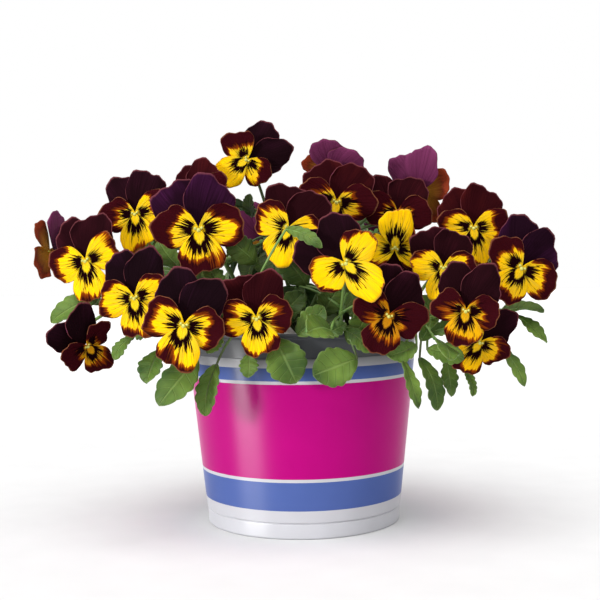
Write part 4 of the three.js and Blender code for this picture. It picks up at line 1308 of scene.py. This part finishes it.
def photo_camera():
    """The camera at the photograph's place and angle."""
    lens = bpy.data.cameras.new("photo_camera")
    lens.lens = CAMERA_LENS
    lens.sensor_width = SENSOR_WIDTH
    lens.clip_start = NEAR_LIMIT
    camera = bpy.data.objects.new("photo_camera", lens)
    pitch = math.radians(CAMERA_PITCH)
    turn = Vector((0, math.cos(pitch), -math.sin(pitch))).to_track_quat("-Z", "Y").to_matrix().to_4x4()
    roll = Matrix.Rotation(math.radians(-CAMERA_ROLL), 4, Vector((0, 0, 1)))
    camera.matrix_world = Matrix.Translation(Vector(CAMERA_PLACE) * MM) @ turn @ roll
    bpy.context.scene.collection.objects.link(camera)
    bpy.context.scene.camera = camera


def make_stage(settings):
    bm = bmesh.new()
    bmesh.ops.create_grid(bm, x_segments=1, y_segments=1, size=FLOOR_REACH)
    floor = mesh_object("paper_floor", bm, [paper()])

    white_room(settings.room_light)
    bpy.context.scene.view_settings.view_transform = "Standard"
    hang_lamp("key_light", "SUN", KEY_PLACE, settings.key_light, angle=math.radians(KEY_SPREAD))
    strip = hang_lamp("strip_softbox", "AREA", STRIP_PLACE, settings.strip_light, size=STRIP_WIDTH)
    keep_to(strip, [piece for piece in bpy.data.objects if piece.type == "MESH" and piece != floor])
    gloss = hang_lamp(
        "gloss_softbox", "AREA", GLOSS_PLACE, settings.gloss_light,
        shape="RECTANGLE", size=GLOSS_WIDTH, size_y=GLOSS_HEIGHT,
    )
    gloss.visible_diffuse = False
    gloss.visible_camera = False
    keep_to(gloss, [bpy.data.objects["printed_pot"]])
    photo_camera()


# Settings, operators and panel


class PansyPlanterSettings(bpy.types.PropertyGroup):
    pot_sides: IntProperty(name="Pot sides", description="Steps round the pot", default=192, min=24, max=400)
    wide_band_ink: FloatVectorProperty(
        name="Wide band ink", description="Colour of the wide printed band", subtype="COLOR",
        default=linear("#b00074")[:3],
    )
    stripe_ink: FloatVectorProperty(
        name="Stripe ink", description="Colour of the two printed stripes", subtype="COLOR",
        default=linear("#4c609e")[:3],
    )
    petal_columns: IntProperty(
        name="Petal columns", description="Steps across a petal", default=20, min=6, max=40
    )
    petal_rows: IntProperty(name="Petal rows", description="Steps along a petal", default=14, min=5, max=40)
    petal_thickness: FloatProperty(
        name="Petal thickness", description="Thickness of a petal",
        default=0.5 * MM, unit="LENGTH", precision=4,
    )
    petal_yellow: FloatVectorProperty(
        name="Petal yellow", description="Clean yellow of the lower petals", subtype="COLOR",
        default=linear("#fbc80a")[:3],
    )
    petal_dark: FloatVectorProperty(
        name="Petal dark", description="Near-black of the upper petals", subtype="COLOR",
        default=linear("#160a0f")[:3],
    )
    leaf_columns: IntProperty(
        name="Leaf columns", description="Steps across a leaf", default=10, min=4, max=24
    )
    leaf_rows: IntProperty(name="Leaf rows", description="Steps along a leaf", default=36, min=10, max=80)
    leaf_teeth: IntProperty(
        name="Leaf teeth", description="Rounded teeth on each side of a leaf", default=5, min=3
    )
    leaf_thickness: FloatProperty(
        name="Leaf thickness", description="Thickness of a leaf",
        default=0.6 * MM, unit="LENGTH", precision=4,
    )
    leaf_green: FloatVectorProperty(
        name="Leaf green", description="Lighter green of the leaves", subtype="COLOR",
        default=linear("#6a8534")[:3],
    )
    key_light: FloatProperty(
        name="Key light", description="Strength of the soft key light", default=2.5, min=0
    )
    strip_light: FloatProperty(
        name="Strip light", description="Power of the strip light", default=20, unit="POWER"
    )
    gloss_light: FloatProperty(
        name="Gloss light", description="Power of the gloss light", default=150, unit="POWER"
    )
    room_light: FloatProperty(
        name="Room light", description="Strength of the room's own light", default=0.36, min=0
    )


class PANSY_OT_pot(bpy.types.Operator):
    """Builds the printed pot"""

    bl_idname = "pansy_planter.pot"
    bl_label = "Printed pot"

    def execute(self, context):
        make_pot(context.scene.pansy_planter)
        return {"FINISHED"}


class PANSY_OT_soil(bpy.types.Operator):
    """Fills the pot with potting mix"""

    bl_idname = "pansy_planter.soil"
    bl_label = "Potting soil"

    def execute(self, context):
        make_soil()
        return {"FINISHED"}


class PANSY_OT_blooms(bpy.types.Operator):
    """Builds the petals and throat of every bloom"""

    bl_idname = "pansy_planter.blooms"
    bl_label = "Blooms"

    def execute(self, context):
        make_blooms(context.scene.pansy_planter)
        return {"FINISHED"}


class PANSY_OT_plants(bpy.types.Operator):
    """Builds the stems and leaves of the three plants"""

    bl_idname = "pansy_planter.plants"
    bl_label = "Stems and leaves"

    def execute(self, context):
        make_plants(context.scene.pansy_planter)
        return {"FINISHED"}


class PANSY_OT_stage(bpy.types.Operator):
    """Sets up the paper floor, the lamps round the finished pieces and the camera"""

    bl_idname = "pansy_planter.stage"
    bl_label = "Stage"

    def execute(self, context):
        make_stage(context.scene.pansy_planter)
        return {"FINISHED"}


OPERATORS = [PANSY_OT_pot, PANSY_OT_soil, PANSY_OT_blooms, PANSY_OT_plants, PANSY_OT_stage]


class PANSY_PT_panel(bpy.types.Panel):
    """Lists the planter's sizes, colours and pieces"""

    bl_idname = "PANSY_PT_panel"
    bl_label = "Potted pansy planter"
    bl_space_type = "VIEW_3D"
    bl_region_type = "UI"
    bl_category = "Planter"

    def draw(self, context):
        settings = context.scene.pansy_planter
        for name in settings.bl_rna.properties.keys():
            if name not in ("rna_type", "name"):
                self.layout.prop(settings, name)
        for operator in OPERATORS:
            self.layout.operator(operator.bl_idname)


CLASSES = [PansyPlanterSettings, *OPERATORS, PANSY_PT_panel]


def register():
    for made in CLASSES:
        bpy.utils.register_class(made)
    bpy.types.Scene.pansy_planter = PointerProperty(type=PansyPlanterSettings)


def unregister():
    del bpy.types.Scene.pansy_planter
    for made in reversed(CLASSES):
        bpy.utils.unregister_class(made)


def main():
    register()
    bpy.ops.pansy_planter.pot()
    bpy.ops.pansy_planter.soil()
    bpy.ops.pansy_planter.blooms()
    bpy.ops.pansy_planter.plants()
    bpy.ops.pansy_planter.stage()


if __name__ == "__main__":
    main()
